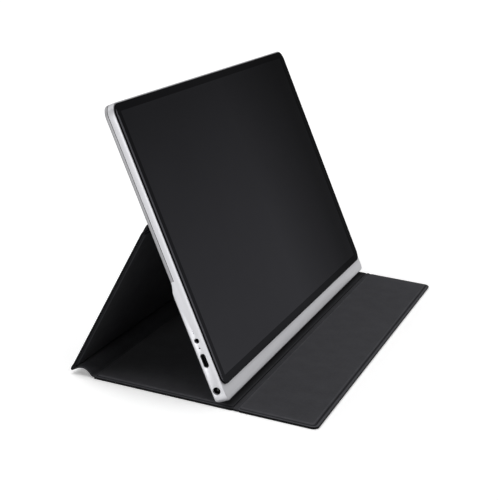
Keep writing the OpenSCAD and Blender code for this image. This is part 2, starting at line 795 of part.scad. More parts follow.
translate([0, origin_shift, 0]) {
    cover_glass();
    glass_gasket();
    lcd_cell();
    light_guide();
    led_strip();
    backlight_tray();
    housing_frame();
    mid_frame();
    rear_plate();
    lower_back_cover();
    main_board();
    shield_can();
    usb_c_socket();
    usb_c_tongue();
    audio_jack();
    dc_socket();
    dc_pin();
    status_light_pipe();
    button_board();
    tact_switches();
    power_button();
    menu_rocker();
    speaker_left();
    speaker_right();
    speaker_leads();
    display_flex();
    cover_screws();
    board_screws();
    steel_plates();
    back_panel_board();
    back_panel_skin();
    back_panel_lining();
    back_panel_magnets();
    panel_crease();
    strut_board();
    strut_skin();
    strut_lining();
    strut_crease();
    spine_skin();
    spine_lining();
    spine_crease();
    base_board();
    base_skin();
    base_lining();
    flap_crease();
    flap_board();
    flap_skin();
    flap_lining();
    flap_magnets();
}
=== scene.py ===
"""Looks of a portable monitor that stands on its folding leather cover.

All sizes are in metres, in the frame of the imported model: X along the screen,
Y away from the viewer, Z up, with the origin under the middle of the footprint.
"""

import logging
import math
from dataclasses import asdict, dataclass
from enum import Enum
from typing import Callable, Iterable, Sequence

import bmesh
import bpy
from mathutils import Matrix, Vector, noise


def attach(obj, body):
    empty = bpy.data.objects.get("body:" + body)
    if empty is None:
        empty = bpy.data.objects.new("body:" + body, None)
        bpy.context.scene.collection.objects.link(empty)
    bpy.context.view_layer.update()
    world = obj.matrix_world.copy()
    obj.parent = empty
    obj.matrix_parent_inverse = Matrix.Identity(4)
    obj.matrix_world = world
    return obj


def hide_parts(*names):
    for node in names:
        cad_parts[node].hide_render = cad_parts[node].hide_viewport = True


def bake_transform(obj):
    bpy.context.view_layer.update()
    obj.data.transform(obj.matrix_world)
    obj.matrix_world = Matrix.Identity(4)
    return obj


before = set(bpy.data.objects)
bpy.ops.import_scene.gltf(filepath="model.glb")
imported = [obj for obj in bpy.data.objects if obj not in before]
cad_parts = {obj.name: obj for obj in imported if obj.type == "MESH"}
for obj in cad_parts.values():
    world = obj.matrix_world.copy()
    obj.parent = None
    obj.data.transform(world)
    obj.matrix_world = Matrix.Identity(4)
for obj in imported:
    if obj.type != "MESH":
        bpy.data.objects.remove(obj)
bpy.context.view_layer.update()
LOG = logging.getLogger("portable_monitor")
MM = 0.001
Pair = tuple[float, float]
Colour = tuple[float, float, float, float]
Socket = bpy.types.NodeSocket
Piece = bpy.types.Object
WHITE = (1, 1, 1, 1)


# ---- shared sizes

@dataclass(frozen=True)
class Layout:
    """Sizes that several pieces share, and the places that follow from them.

    A place in the side view is a pair of y and z, before the shift to the origin.
    """

    housing_w: float = 366 * MM
    housing_h: float = 221 * MM
    thin_depth: float = 8.5 * MM
    thick_depth: float = 11.1 * MM
    bottom_round: float = 5 * MM
    tilt: float = math.radians(28)
    crease_v: float = 131 * MM
    foot: Pair = (121.8 * MM, 3 * MM)
    cover_w: float = 368 * MM
    panel_t: float = 2.5 * MM
    flap_len: float = 58.5 * MM
    spine_len: float = 16 * MM
    spine_rise: float = 4 * MM
    rim: float = 3.5 * MM
    end_rim: float = 2.2 * MM
    fold_rim: float = 1.35 * MM
    rim_t: float = 1.3 * MM
    seat_gap: float = 0.25 * MM
    fold_gap: float = 0.3 * MM
    groove_y: float = -5 * MM
    groove_half: float = 1.4 * MM
    crease_half: float = 1.5 * MM
    crease_t: float = 1.1 * MM
    crease_inset: float = 0.8 * MM
    heel: float = 0.5 * MM
    back_gap: float = 0.1 * MM
    back_lift: float = 7 * MM
    back_inset: float = 7 * MM
    back_top: float = 4 * MM

    @property
    def half_t(self) -> float:
        """Half the thickness of a panel."""
        return self.panel_t / 2

    @property
    def screen_z(self) -> float:
        """Height of the screen's front lower edge."""
        return (self.panel_t + self.seat_gap + self.bottom_round
                + (self.thick_depth - self.bottom_round) * math.sin(self.tilt)
                - self.bottom_round * math.cos(self.tilt))

    @property
    def base_rear(self) -> Pair:
        """Place of the fold between base and spine."""
        drop = self.foot[1] - self.half_t
        return self.foot[0] - math.sqrt(self.spine_len ** 2 - drop ** 2), self.half_t

    @property
    def fold(self) -> Pair:
        """Place of the fold between strut and back panel."""
        return self.screen_point(self.thick_depth + self.fold_gap, self.crease_v)

    @property
    def strut_span(self) -> float:
        """Distance along the strut from its foot to its upper fold."""
        return math.sqrt(math.dist(self.fold, self.foot) ** 2 - self.half_t ** 2)

    @property
    def strut_lean(self) -> float:
        """Lean of the strut from the vertical."""
        return (math.atan2(self.foot[0] - self.fold[0], self.fold[1] - self.foot[1])
                - math.asin(self.half_t / math.dist(self.fold, self.foot)))

    @property
    def base_y0(self) -> float:
        """Front edge of the base."""
        return self.groove_y + self.groove_half

    @property
    def base_len(self) -> float:
        """Length of the base, from the groove to the spine."""
        return self.base_rear[0] - self.crease_half - self.base_y0

    @property
    def flap_y0(self) -> float:
        """Front edge of the flap."""
        return self.groove_y - self.groove_half - self.flap_len

    @property
    def shift(self) -> float:
        """Distance along Y from the screen's front edge to the model's origin."""
        return -(self.flap_y0 + self.strut_point(self.half_t, self.heel)[0]) / 2

    @property
    def back_v0(self) -> float:
        """Lower edge of the back panel, along the screen."""
        return self.crease_v + self.back_lift

    @property
    def back_w(self) -> float:
        """Width of the back panel."""
        return self.housing_w - 2 * self.back_inset

    def screen_point(self, depth: float, height: float) -> Pair:
        """Place at a depth behind the glass and a height along the screen."""
        s, c = math.sin(self.tilt), math.cos(self.tilt)
        return height * s + depth * c, self.screen_z + height * c - depth * s

    def strut_point(self, out: float, up: float) -> Pair:
        """Place outwards from the strut's middle and up along it from its foot."""
        s, c = math.sin(self.strut_lean), math.cos(self.strut_lean)
        return self.foot[0] + out * c - up * s, self.foot[1] + out * s + up * c

    def spine_point(self, along: float, over: float) -> Pair:
        """Side view of a place on the arched spine.

        Args:
            along: distance along the spine's chord.
            over: distance above the middle of its thickness.

        Returns:
            The place as y and z.
        """
        y, z = self.base_rear
        uy, uz = (self.foot[0] - y) / self.spine_len, (self.foot[1] - z) / self.spine_len
        rise = self.spine_rise * math.sin(math.pi * along / self.spine_len) + over
        return y + uy * along - uz * rise, z + uz * along + uy * rise

    def meeting(self, inset: float, depth: float) -> float:
        """Height along the screen at which a layer of the strut reaches a depth.

        Args:
            inset: distance of the layer inwards from the strut's outer face.
            depth: depth behind the glass.

        Returns:
            The height of the meeting place.
        """
        turn = self.tilt + self.strut_lean
        across = self.panel_t - inset
        run = self.thick_depth + self.fold_gap + across * math.cos(turn) - depth
        return self.crease_v + across * math.sin(turn) + run / math.tan(turn)

    def screen_frame(self) -> Matrix:
        """Frame of the screen: X, depth behind the glass, height along it."""
        return (Matrix.Translation((0, self.shift, self.screen_z))
                @ Matrix.Rotation(-self.tilt, 4, "X"))

    def flat_frame(self, y: float) -> Matrix:
        """Frame of a panel that lies on the table, from its front edge."""
        return Matrix.Translation((0, y + self.shift, 0))

    def strut_frame(self) -> Matrix:
        """Frame of the strut: X, length upwards, thickness towards its lining."""
        y, z = self.strut_point(self.half_t, self.crease_half)
        return (Matrix.Translation((0, y + self.shift, z))
                @ Matrix.Rotation(math.pi / 2 + self.strut_lean, 4, "X"))

    def back_frame(self) -> Matrix:
        """Frame of the back panel, which lies on the back of the screen."""
        place = (0, self.thin_depth + self.panel_t, self.back_v0)
        return (self.screen_frame() @ Matrix.Translation(place)
                @ Matrix.Rotation(math.pi / 2, 4, "X"))


LAYOUT = Layout()


# ---- node trees

class Graph:
    """A node tree being laid out, with short calls for its nodes and links."""

    def __init__(self, tree: bpy.types.NodeTree) -> None:
        """Starts from an emptied tree."""
        self.tree = tree
        tree.nodes.clear()

    def node(self, kind: str, inputs: dict[str | int, object] | None = None,
             **settings: object) -> bpy.types.bpy_prop_collection:
        """Adds a node.

        Args:
            kind: type name of the node.
            inputs: for each input a value, an output socket or a list of sockets.
            settings: properties of the node.

        Returns:
            The outputs of the new node.
        """
        made = self.tree.nodes.new(kind)
        for name, value in settings.items():
            setattr(made, name, value)
        for key, value in (inputs or {}).items():
            for one in value if isinstance(value, list) else [value]:
                if isinstance(one, Socket):
                    self.tree.links.new(one, made.inputs[key])
                else:
                    made.inputs[key].default_value = one
        return made.outputs

    def math(self, operation: str, first: object, second: object = 0.0) -> Socket:
        """One arithmetic step on two values or sockets."""
        return self.node("ShaderNodeMath", {0: first, 1: second}, operation=operation)[0]

    def if_shown(self, lit: Socket, shown: Socket) -> Socket:
        """Picks a shader by the kind of ray that arrives.

        Args:
            lit: the shader that lights other surfaces.
            shown: the shader for camera, mirrored and transmitted rays.

        Returns:
            The mixed shader.
        """
        path = self.node("ShaderNodeLightPath")
        share = path["Is Camera Ray"]
        for name in ("Is Glossy Ray", "Is Transmission Ray"):
            share = self.math("MAXIMUM", share, path[name])
        return self.node("ShaderNodeMixShader", {0: share, 1: lit, 2: shown})[0]


# ---- finishes

def grey(value: float, cool: float = 0.0) -> Colour:
    """A linear grey, with its blue raised by a share."""
    return value, value, value * (1 + cool), 1.0


class Sheet(Graph):
    """A material being laid out round a Principled shader."""

    def __init__(self, name: str) -> None:
        """Starts a material.

        Args:
            name: name of the material.
        """
        self.material = bpy.data.materials.new(name)
        self.material.use_nodes = True
        super().__init__(self.material.node_tree)
        self.shader = self.tree.nodes.new("ShaderNodeBsdfPrincipled")
        self.node("ShaderNodeOutputMaterial", {"Surface": self.shader.outputs[0]})
        self.place = self.node("ShaderNodeTexCoord")["Object"]

    def set(self, **values: float) -> None:
        """Sets constant inputs of the shader, with _ for each space in a name."""
        for name, value in values.items():
            self.shader.inputs[name.replace("_", " ")].default_value = value

    def feed(self, name: str, socket: Socket) -> None:
        """Links a socket to an input of the shader."""
        self.tree.links.new(socket, self.shader.inputs[name])

    def axis(self, name: str) -> Socket:
        """One of the piece's own coordinates."""
        return self.node("ShaderNodeSeparateXYZ", {0: self.place})[name]

    def grain(self, scale: float, detail: float = 2, roughness: float = 0.5) -> Socket:
        """Noise from 0 to 1, with so many bumps per metre and octaves."""
        return self.node("ShaderNodeTexNoise", {"Vector": self.place, "Scale": scale,
                                                "Detail": detail, "Roughness": roughness})[0]

    def cells(self, scale: float) -> Socket:
        """Distance to the nearest cell centre, as on leather grain."""
        return self.node("ShaderNodeTexVoronoi", {"Vector": self.place, "Scale": scale})["Distance"]

    def total(self, *parts: tuple[Socket, float]) -> Socket:
        """Weighted sum of values.

        Args:
            parts: each value with its weight.

        Returns:
            The sum.
        """
        whole, *others = (self.math("MULTIPLY", *part) for part in parts)
        for other in others:
            whole = self.math("ADD", whole, other)
        return whole

    def ramp(self, value: Socket, low: float, high: float, out_low: float = 0,
             out_high: float = 1) -> Socket:
        """Maps a value from one range to another, held at its ends."""
        return self.node("ShaderNodeMapRange", {"Value": value, "From Min": low, "From Max": high,
                                                "To Min": out_low, "To Max": out_high})[0]

    def blend(self, share: Socket, first: object, second: object) -> Socket:
        """Mixes two colours by a share."""
        return self.node("ShaderNodeMix", {"Factor": share, 6: first, 7: second},
                         data_type="RGBA")[2]

    def tint(self, share: Socket, value: float, dark: float, light: float, cool: float) -> Socket:
        """Greys from a dark to a light share of a value, cooled alike."""
        return self.blend(share, grey(value * dark, cool), grey(value * light, cool))

    def satin(self, share: Socket, low: float, high: float) -> None:
        """Lets the roughness follow a grain, from low to high."""
        self.feed("Roughness", self.ramp(share, 0.3, 0.7, low, high))

    def bump(self, height: Socket, depth: float, strength: float) -> None:
        """Adds a bump on top of any before it.

        Args:
            height: the relief, from 0 to 1.
            depth: its depth in metres.
            strength: share of it that shows.
        """
        inputs = {"Height": height, "Distance": depth, "Strength": strength}
        for link in self.shader.inputs["Normal"].links:
            inputs["Normal"] = link.from_socket
        self.feed("Normal", self.node("ShaderNodeBump", inputs)[0])


@dataclass(frozen=True)
class Finish:
    """A surface finish. Each kind lays out its own shader once."""

    name: str
    slot: str

    def material(self) -> bpy.types.Material:
        """The finish's material, made at first use.

        Returns:
            The material.
        """
        found = bpy.data.materials.get(self.name)
        if found:
            return found
        sheet = Sheet(self.name)
        self.lay_out(sheet)
        return sheet.material

    def lay_out(self, sheet: Sheet) -> None:
        """Draws the shader. Each kind of finish has its own."""
        raise NotImplementedError


Section = Sequence[tuple[Finish, Sequence[Pair]]]


@dataclass(frozen=True)
class BrushedMicrofibre(Finish):
    """Dark suede-like cloth, matt and soft, with a faint uneven nap."""

    value: float = 0.048

    def lay_out(self, sheet: Sheet) -> None:
        """Mottled nap with a fine fibre bump, and painted shade that darkens it along the front
        fold.

        Args:
            sheet: the shader being laid out.
        """
        nap, fibre = sheet.grain(420, 3, 0.65), sheet.grain(2600, 2, 0.6)
        share = sheet.total((sheet.grain(75, 3, 0.6), 0.45), (nap, 0.35), (fibre, 0.2))
        cloth = sheet.tint(sheet.ramp(share, 0.32, 0.68), self.value, 0.86, 1.16, 0.1)
        along, fold = sheet.axis("Y"), LAYOUT.shift + LAYOUT.groove_y
        # Painted shade: over the fold and the strip behind it, the cloth darkens to a tenth of its
        # value, where the screen's foot shades it at rest.
        pressed = sheet.math("MULTIPLY", sheet.ramp(along, fold - 1.5 * MM, fold + 4 * MM),
                             sheet.ramp(along, fold + 7 * MM, fold + 16 * MM, 0.75, 0))
        sheet.feed("Base Color", sheet.blend(pressed, cloth, grey(self.value * 0.1, 0.1)))
        sheet.set(Roughness=0.95, Specular_IOR_Level=0.02, Sheen_Weight=0.03, Sheen_Roughness=0.5)
        sheet.bump(nap, 0.12 * MM, 0.6)
        sheet.bump(fibre, 0.04 * MM, 0.8)


@dataclass(frozen=True)
class PressedLeather(Finish):
    """Charcoal leather with a fine embossed grain."""

    value: float = 0.03
    roughness: float = 0.62

    def lay_out(self, sheet: Sheet) -> None:
        """Small pebbled cells over slow dark and light patches.

        Args:
            sheet: the shader being laid out.
        """
        crease = sheet.grain(900, 3, 0.6)
        share = sheet.ramp(sheet.total((sheet.grain(40), 0.6), (crease, 0.4)), 0.3, 0.7)
        sheet.feed("Base Color", sheet.tint(share, self.value, 0.88, 1.12, 0.08))
        sheet.satin(crease, self.roughness - 0.06, self.roughness + 0.08)
        sheet.set(Specular_IOR_Level=0.08)
        sheet.bump(sheet.cells(1500), 0.09 * MM, 0.55)
        sheet.bump(crease, 0.06 * MM, 0.5)


@dataclass(frozen=True)
class EdgePaint(Finish):
    """Black paint on the cut edge of the cover."""

    def lay_out(self, sheet: Sheet) -> None:
        """Nearly black, satin, with slight unevenness.

        Args:
            sheet: the shader being laid out.
        """
        wave = sheet.grain(320)
        sheet.feed("Base Color", sheet.blend(wave, grey(0.005, 0.08), grey(0.009, 0.08)))
        sheet.satin(wave, 0.5, 0.68)
        sheet.set(Specular_IOR_Level=0.025)
        sheet.bump(wave, 0.08 * MM, 0.5)


@dataclass(frozen=True)
class BlastedSilver(Finish):
    """Silver housing with a very fine bead-blasted surface."""

    value: float = 0.72
    metallic: float = 0.3
    roughness: float = 0.42

    def lay_out(self, sheet: Sheet) -> None:
        """Fine sparkle grain, faint patches and a satin gloss, with painted shade that darkens it
        towards the top and more along the top edge.

        Args:
            sheet: the shader being laid out.
        """
        blast, height = sheet.grain(5200, 2, 0.7), sheet.axis("Z")
        share = sheet.total((sheet.grain(30, 3, 0.55), 0.7), (blast, 0.3))
        body = sheet.blend(sheet.ramp(share, 0.35, 0.65),
                           grey(self.value * 0.955, 0.05), grey(self.value, 0.04))
        # Painted shade: the colour darkens with height to 0.84 of its value, and to half in a thin
        # band near the top edge.
        for low, high, left in ((0.06, 0.19, 0.84), (0.191, 0.197, 0.5)):
            body = sheet.blend(sheet.ramp(height, low, high), body, grey(self.value * left, 0.04))
        sheet.feed("Base Color", body)
        sheet.satin(blast, self.roughness - 0.04, self.roughness + 0.05)
        sheet.set(Metallic=self.metallic, Specular_IOR_Level=0.5)
        sheet.bump(blast, 0.012 * MM, 0.5)


class GlassZone(Enum):
    """Parts of the glass, each with the grey that its painted reflection reaches, its grey away
    from it, gloss and roughness.
    """

    ACTIVE = (0.08, 0, 0.001, 0.3)
    BORDER = (0.038, 0, 0.001, 0.22)
    # A lighter grey for the faces along the left edge: a painted highlight
    BEVEL = (0.13, 0.13, 0.01, 0.3)
    WALL = (0.004, 0.004, 0.005, 0.3)


@dataclass(frozen=True)
class CoatedGlass(Finish):
    """Black glass over the display, with a coating that keeps reflections low."""

    zone: GlassZone = GlassZone.ACTIVE

    def lay_out(self, sheet: Sheet) -> None:
        """A dark body with a painted reflection, lighter at one low corner, over a faint random
        mottle, with a weak, blurred reflection.

        Args:
            sheet: the shader being laid out.
        """
        painted_reflection_grey, clear, gloss, roughness = self.zone.value
        mottle_and_painted_reflection = sheet.ramp(sheet.grain(14), 0.2, 0.8, 0.96, 1.04)
        # Painted reflection: the colour lightens towards the low left corner and fades upwards and
        # to the right.
        for axis, low, high, left in (("Z", 0.02, 0.1, 0.76), ("Z", 0.1, 0.19, 0.53),
                                      ("X", 0.01, 0.15, 0.32)):
            fading = sheet.ramp(sheet.axis(axis), low, high, 1, left)
            mottle_and_painted_reflection = sheet.math("MULTIPLY", mottle_and_painted_reflection, fading)
        sheet.feed("Base Color", sheet.blend(mottle_and_painted_reflection, grey(clear, 0.12), grey(painted_reflection_grey, 0.12)))
        sheet.set(Roughness=roughness, Specular_IOR_Level=gloss)


@dataclass(frozen=True)
class MouldedPlastic(Finish):
    """Moulded plastic with a faint texture."""

    colour: tuple[float, float, float] = (0.02, 0.02, 0.02)
    roughness: float = 0.45
    gloss: float = 0.5

    def lay_out(self, sheet: Sheet) -> None:
        """A plain body colour, slightly varied, with a fine spark-eroded bump.

        Args:
            sheet: the shader being laid out.
        """
        fine = sheet.grain(3000, 2, 0.6)
        dark, light = ((*(c * part for c in self.colour), 1) for part in (0.93, 1.07))
        sheet.feed("Base Color", sheet.blend(fine, dark, light))
        sheet.satin(fine, self.roughness - 0.05, self.roughness + 0.05)
        sheet.set(Specular_IOR_Level=self.gloss)
        sheet.bump(fine, 0.01 * MM, 0.5)


@dataclass(frozen=True)
class RolledMetal(Finish):
    """Bare or plated sheet metal with rolling marks."""

    value: float = 0.6
    roughness: float = 0.3
    cool: float = 0.0

    def lay_out(self, sheet: Sheet) -> None:
        """Metal with marks stretched along X.

        Args:
            sheet: the shader being laid out.
        """
        stretched = sheet.node("ShaderNodeMapping", {"Vector": sheet.place,
                                                     "Scale": (60, 1800, 1800)})[0]
        marks = sheet.node("ShaderNodeTexNoise", {"Vector": stretched, "Scale": 1, "Detail": 3})[0]
        sheet.feed("Base Color", sheet.tint(marks, self.value, 0.9, 1, self.cool))
        sheet.satin(marks, self.roughness - 0.06, self.roughness + 0.1)
        sheet.set(Metallic=1)


@dataclass(frozen=True)
class SolderMask(Finish):
    """Green circuit board with faint tracks under the mask."""

    def lay_out(self, sheet: Sheet) -> None:
        """Track pattern of stretched cells, a shade lighter than the board.

        Args:
            sheet: the shader being laid out.
        """
        tracks = {"Color1": (0.012, 0.085, 0.045, 1), "Color2": (0.014, 0.10, 0.052, 1),
                  "Mortar": (0.02, 0.16, 0.08, 1), "Mortar Size": 0.03}
        sheet.feed("Base Color", sheet.node("ShaderNodeTexBrick", {
            "Vector": sheet.place, "Scale": 110, **tracks})["Color"])
        sheet.satin(sheet.grain(900), 0.28, 0.4)


@dataclass(frozen=True)
class ClearAcrylic(Finish):
    """Clear light-guide acrylic, milky from its diffuser dots."""

    def lay_out(self, sheet: Sheet) -> None:
        """Milky body with a dot pattern in its bump.

        Args:
            sheet: the shader being laid out.
        """
        dots = sheet.cells(900)
        sheet.feed("Base Color", sheet.blend(dots, (0.8, 0.83, 0.86, 1), (0.9, 0.92, 0.95, 1)))
        sheet.feed("Roughness", sheet.ramp(dots, 0, 1, 0.15, 0.3))
        sheet.bump(dots, 0.02 * MM, 0.5)


@dataclass(frozen=True)
class PressedBoard(Finish):
    """Stiffening board inside the cover's panels."""

    def lay_out(self, sheet: Sheet) -> None:
        """Grey-brown fibres.

        Args:
            sheet: the shader being laid out.
        """
        fibres = sheet.grain(700, 4, 0.7)
        sheet.feed("Base Color", sheet.blend(fibres, (0.22, 0.2, 0.17, 1), (0.34, 0.31, 0.27, 1)))
        sheet.set(Roughness=0.85)
        sheet.bump(fibres, 0.04 * MM, 0.6)


class Finishes:
    """Every finish of the object, by its place."""

    lining = BrushedMicrofibre("cover_lining_microfibre", "cover_lining")
    # Copies of the lining: the rim and crest copies are lighter and paint highlights on the rim and
    # the field's shoulder; the copy for the dip between them is darker, for its flattened nap and
    # for painted shade.
    rim = BrushedMicrofibre("cover_lining_rim_painted_highlight", "cover_lining", 0.07)
    pressed = BrushedMicrofibre("cover_lining_pressed", "cover_lining", 0.027)
    crest = BrushedMicrofibre("cover_lining_crest_painted_highlight", "cover_lining", 0.062)
    skin = PressedLeather("cover_skin_leather", "cover_skin")
    edge = EdgePaint("cover_edge_paint", "cover_skin")
    silver = BlastedSilver("housing_silver", "silver_housing")
    rear_silver = BlastedSilver("rear_plate_silver", "back_cover", 0.4, 0.15, 0.45)
    inner_frame = BlastedSilver("mid_frame_silver", "back_cover", 0.4, 0.8)
    keys = BlastedSilver("key_silver", "silver_housing", 0.7, roughness=0.34)
    glass_active = CoatedGlass("glass_over_display", "screen_glass", GlassZone.ACTIVE)
    glass_border = CoatedGlass("glass_over_border", "screen_glass", GlassZone.BORDER)
    glass_bevel_painted_highlight = CoatedGlass("glass_left_bevel_painted_highlight", "screen_glass", GlassZone.BEVEL)
    glass_wall = CoatedGlass("glass_side_wall", "screen_glass", GlassZone.WALL)
    foam = MouldedPlastic("gasket_foam", "gasket", (0.015, 0.015, 0.015), 0.8)
    display = MouldedPlastic("display_cell_black", "display", (0.02, 0.02, 0.024), 0.12)
    acrylic = ClearAcrylic("light_guide_acrylic", "light_guide")
    steel = RolledMetal("steel_sheet", "steel", 0.55)
    socket_steel = RolledMetal("socket_shell_steel", "steel", 0.03, 0.5)
    black = MouldedPlastic("socket_black_plastic", "black_plastic",
                           (0.006, 0.006, 0.0065), 0.5, 0.03)
    smoked = MouldedPlastic("status_light_smoked", "light_guide",
                            (0.008, 0.008, 0.009), 0.3, 0.1)
    mask = SolderMask("board_solder_mask", "circuit_board")
    film = MouldedPlastic("flex_film_amber", "cable", (0.45, 0.22, 0.04), 0.3)
    insulation = MouldedPlastic("lead_insulation_red", "cable", (0.35, 0.02, 0.02))
    board = PressedBoard("panel_stiffener_board", "panel_board")
    nickel = RolledMetal("magnet_nickel", "magnet", 0.62, 0.16, 0.02)


# ---- mesh making

class Draft:
    """A mesh being drawn, with a finish for each of its faces."""

    def __init__(self, *finishes: Finish) -> None:
        """Starts an empty draft.

        Args:
            finishes: the finishes of its faces, in the order of its material slots.
        """
        self.finishes = finishes
        self.points: list[Vector] = []
        self.faces: list[tuple[list[int], Finish]] = []

    def add(self, points: Iterable[Sequence[float]]) -> list[int]:
        """Adds points.

        Args:
            points: their places.

        Returns:
            Their indices.
        """
        first = len(self.points)
        self.points.extend(Vector(p) for p in points)
        return list(range(first, len(self.points)))

    def face(self, corners: Sequence[int], finish: Finish) -> None:
        """Adds one face, dropping corners that repeat.

        Args:
            corners: indices of its points.
            finish: its finish.
        """
        clean = [c for i, c in enumerate(corners) if c != corners[i - 1]]
        if len(clean) > 2:
            self.faces.append((clean, finish))

    def bridge(self, first: Sequence[int], second: Sequence[int], finish: Finish,
               closed: bool = True) -> None:
        """Joins two rows of points with quads.

        Args:
            first: one row.
            second: the other row, as long as the first.
            finish: finish of the quads.
            closed: whether the rows run all the way round.
        """
        count = len(first)
        for i in range(count if closed else count - 1):
            j = (i + 1) % count
            self.face((first[i], first[j], second[j], second[i]), finish)

    def loft(self, section: Section,
             ring: Callable[[float, float], list[Vector]]) -> list[list[int]]:
        """Draws a ring for each place of a cross-section and joins them.

        Args:
            section: groups of places, each with its finish up to the next place.
            ring: gives the ring at a distance inwards and a height, in millimetres.

        Returns:
            The points of each ring.
        """
        places = [(place, finish) for finish, group in section for place in group]
        rings = [self.add(ring(*place)) for place, _ in places]
        for low, high, (_, finish) in zip(rings, rings[1:], places):
            self.bridge(low, high, finish)
        return rings

    def close(self, ring: Sequence[int], shape: "RoundedPlate", grid: Iterable[Iterable[Vector]],
              border: Finish, field: Finish) -> None:
        """Closes a ring with a grid.

        Args:
            ring: the ring's points.
            shape: outline that the ring belongs to.
            grid: rows of points inside it.
            border: finish between ring and grid.
            field: finish of the grid.
        """
        rows = [self.add(row) for row in grid]
        self.bridge(ring, shape.rim_of(rows), border)
        for low, high in zip(rows, rows[1:]):
            self.bridge(low, high, field, closed=False)

    def build(self, name: str, place: Matrix, sharp: float = 35) -> Piece:
        """Makes the object at the origin, with its place in its mesh.

        Args:
            name: name of the piece.
            place: frame in which the points were drawn.
            sharp: angle in degrees from which an edge stays sharp.

        Returns:
            The new object, with its finishes assigned.
        """
        mesh = bpy.data.meshes.new(name)
        mesh.from_pydata([place @ p for p in self.points], [], [f for f, _ in self.faces])
        mesh.polygons.foreach_set("material_index", [self.finishes.index(m) for _, m in self.faces])
        for finish in self.finishes:
            mesh.materials.append(finish.material())
        work = bmesh.new()
        work.from_mesh(mesh)
        bmesh.ops.remove_doubles(work, verts=work.verts, dist=1e-7)
        bmesh.ops.recalc_face_normals(work, faces=work.faces)
        work.to_mesh(mesh)
        work.free()
        return wrap(name, mesh, sharp)


def wrap(name: str, mesh: bpy.types.Mesh, sharp: float) -> Piece:
    """Wraps a mesh in an object with smooth shading.

    Args:
        name: name of the piece.
        mesh: its mesh, already in place.
        sharp: angle in degrees from which an edge stays sharp.

    Returns:
        The new object.
    """
    mesh.polygons.foreach_set("use_smooth", [True] * len(mesh.polygons))
    mesh.set_sharp_from_angle(angle=math.radians(sharp))
    made = bpy.data.objects.new(name, mesh)
    bpy.context.scene.collection.objects.link(made)
    return made


def report(piece: Piece) -> None:
    """Logs a finished piece and its count of faces."""
    LOG.info("%s: %d faces", piece.name, len(piece.data.polygons))


def settle(piece: Piece, body: str, node: str) -> None:
    """Sets a piece on its body in the place of a solid.

    Args:
        piece: the finished piece.
        body: the body that it moves with.
        node: the solid that it stands for.
    """
    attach(piece, body)
    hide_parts(node)
    report(piece)


@dataclass(frozen=True)
class RoundedPlate:
    """Outline of a plate with rounded corners, from y 0 to its length."""

    width: float
    length: float
    near_radius: float
    far_radius: float
    step: float = 8 * MM
    arc: int = 8

    def counts(self) -> tuple[int, int]:
        """Counts of steps across the width and along the length."""
        return max(4, round(self.width / self.step)), max(3, round(self.length / self.step))

    def ring(self, side: float, near: float, far: float, z: float,
             keep: float = 0.4) -> list[Vector]:
        """Points of the outline, moved inwards.

        Args:
            side: distance inwards from the two long sides.
            near: distance inwards from the end at y 0.
            far: distance inwards from the other end.
            z: height of the ring.
            keep: share of a corner's radius that stays, however far inwards.

        Returns:
            The ring's points, starting along the end at y 0.
        """
        half, high = self.width / 2 - side, self.length - far
        arcs = []
        for x, y, radius, start in (
                (half, near, self.near_radius, -90), (half, high, self.far_radius, 0),
                (-half, high, self.far_radius, 90), (-half, near, self.near_radius, 180)):
            r = max(radius - side, radius * keep)
            x, y = x - math.copysign(r, x), y + (r if y == near else -r)
            turns = [math.radians(start + 90 * i / self.arc) for i in range(self.arc + 1)]
            arcs.append([Vector((x + r * math.cos(a), y + r * math.sin(a), z)) for a in turns])
        points: list[Vector] = []
        for i, count in enumerate(self.counts() * 2):
            begin, end = arcs[i - 1][-1], arcs[i][0]
            points.extend(begin.lerp(end, k / count) for k in range(count + 1))
            points.extend(arcs[i][1:-1])
        return points

    def grid(self, side: float, near: float, far: float, z: float) -> list[list[Vector]]:
        """Rows of points of the inner rectangle, to fill a ring.

        Args:
            side: distance inwards from the two long sides.
            near: distance inwards from the end at y 0.
            far: distance inwards from the other end.
            z: height of the grid.

        Returns:
            The rows, each along the width.
        """
        (across, along), half = self.counts(), self.width / 2 - side
        xs = [-half + 2 * half * i / across for i in range(across + 1)]
        ys = [near + (self.length - far - near) * j / along for j in range(along + 1)]
        return [[Vector((x, y, z)) for x in xs] for y in ys]

    def rim_of(self, rows: Sequence[Sequence[int]]) -> list[int]:
        """Border of a grid, matched point for point to a ring.

        Args:
            rows: indices of the grid's points.

        Returns:
            One index for each point of a ring, with corners repeated.
        """
        sides = (rows[0], [r[-1] for r in rows], rows[-1][::-1], [r[0] for r in rows][::-1])
        return [i for side in sides for i in [*side, *[side[-1]] * (self.arc - 1)]]


# ---- the cover

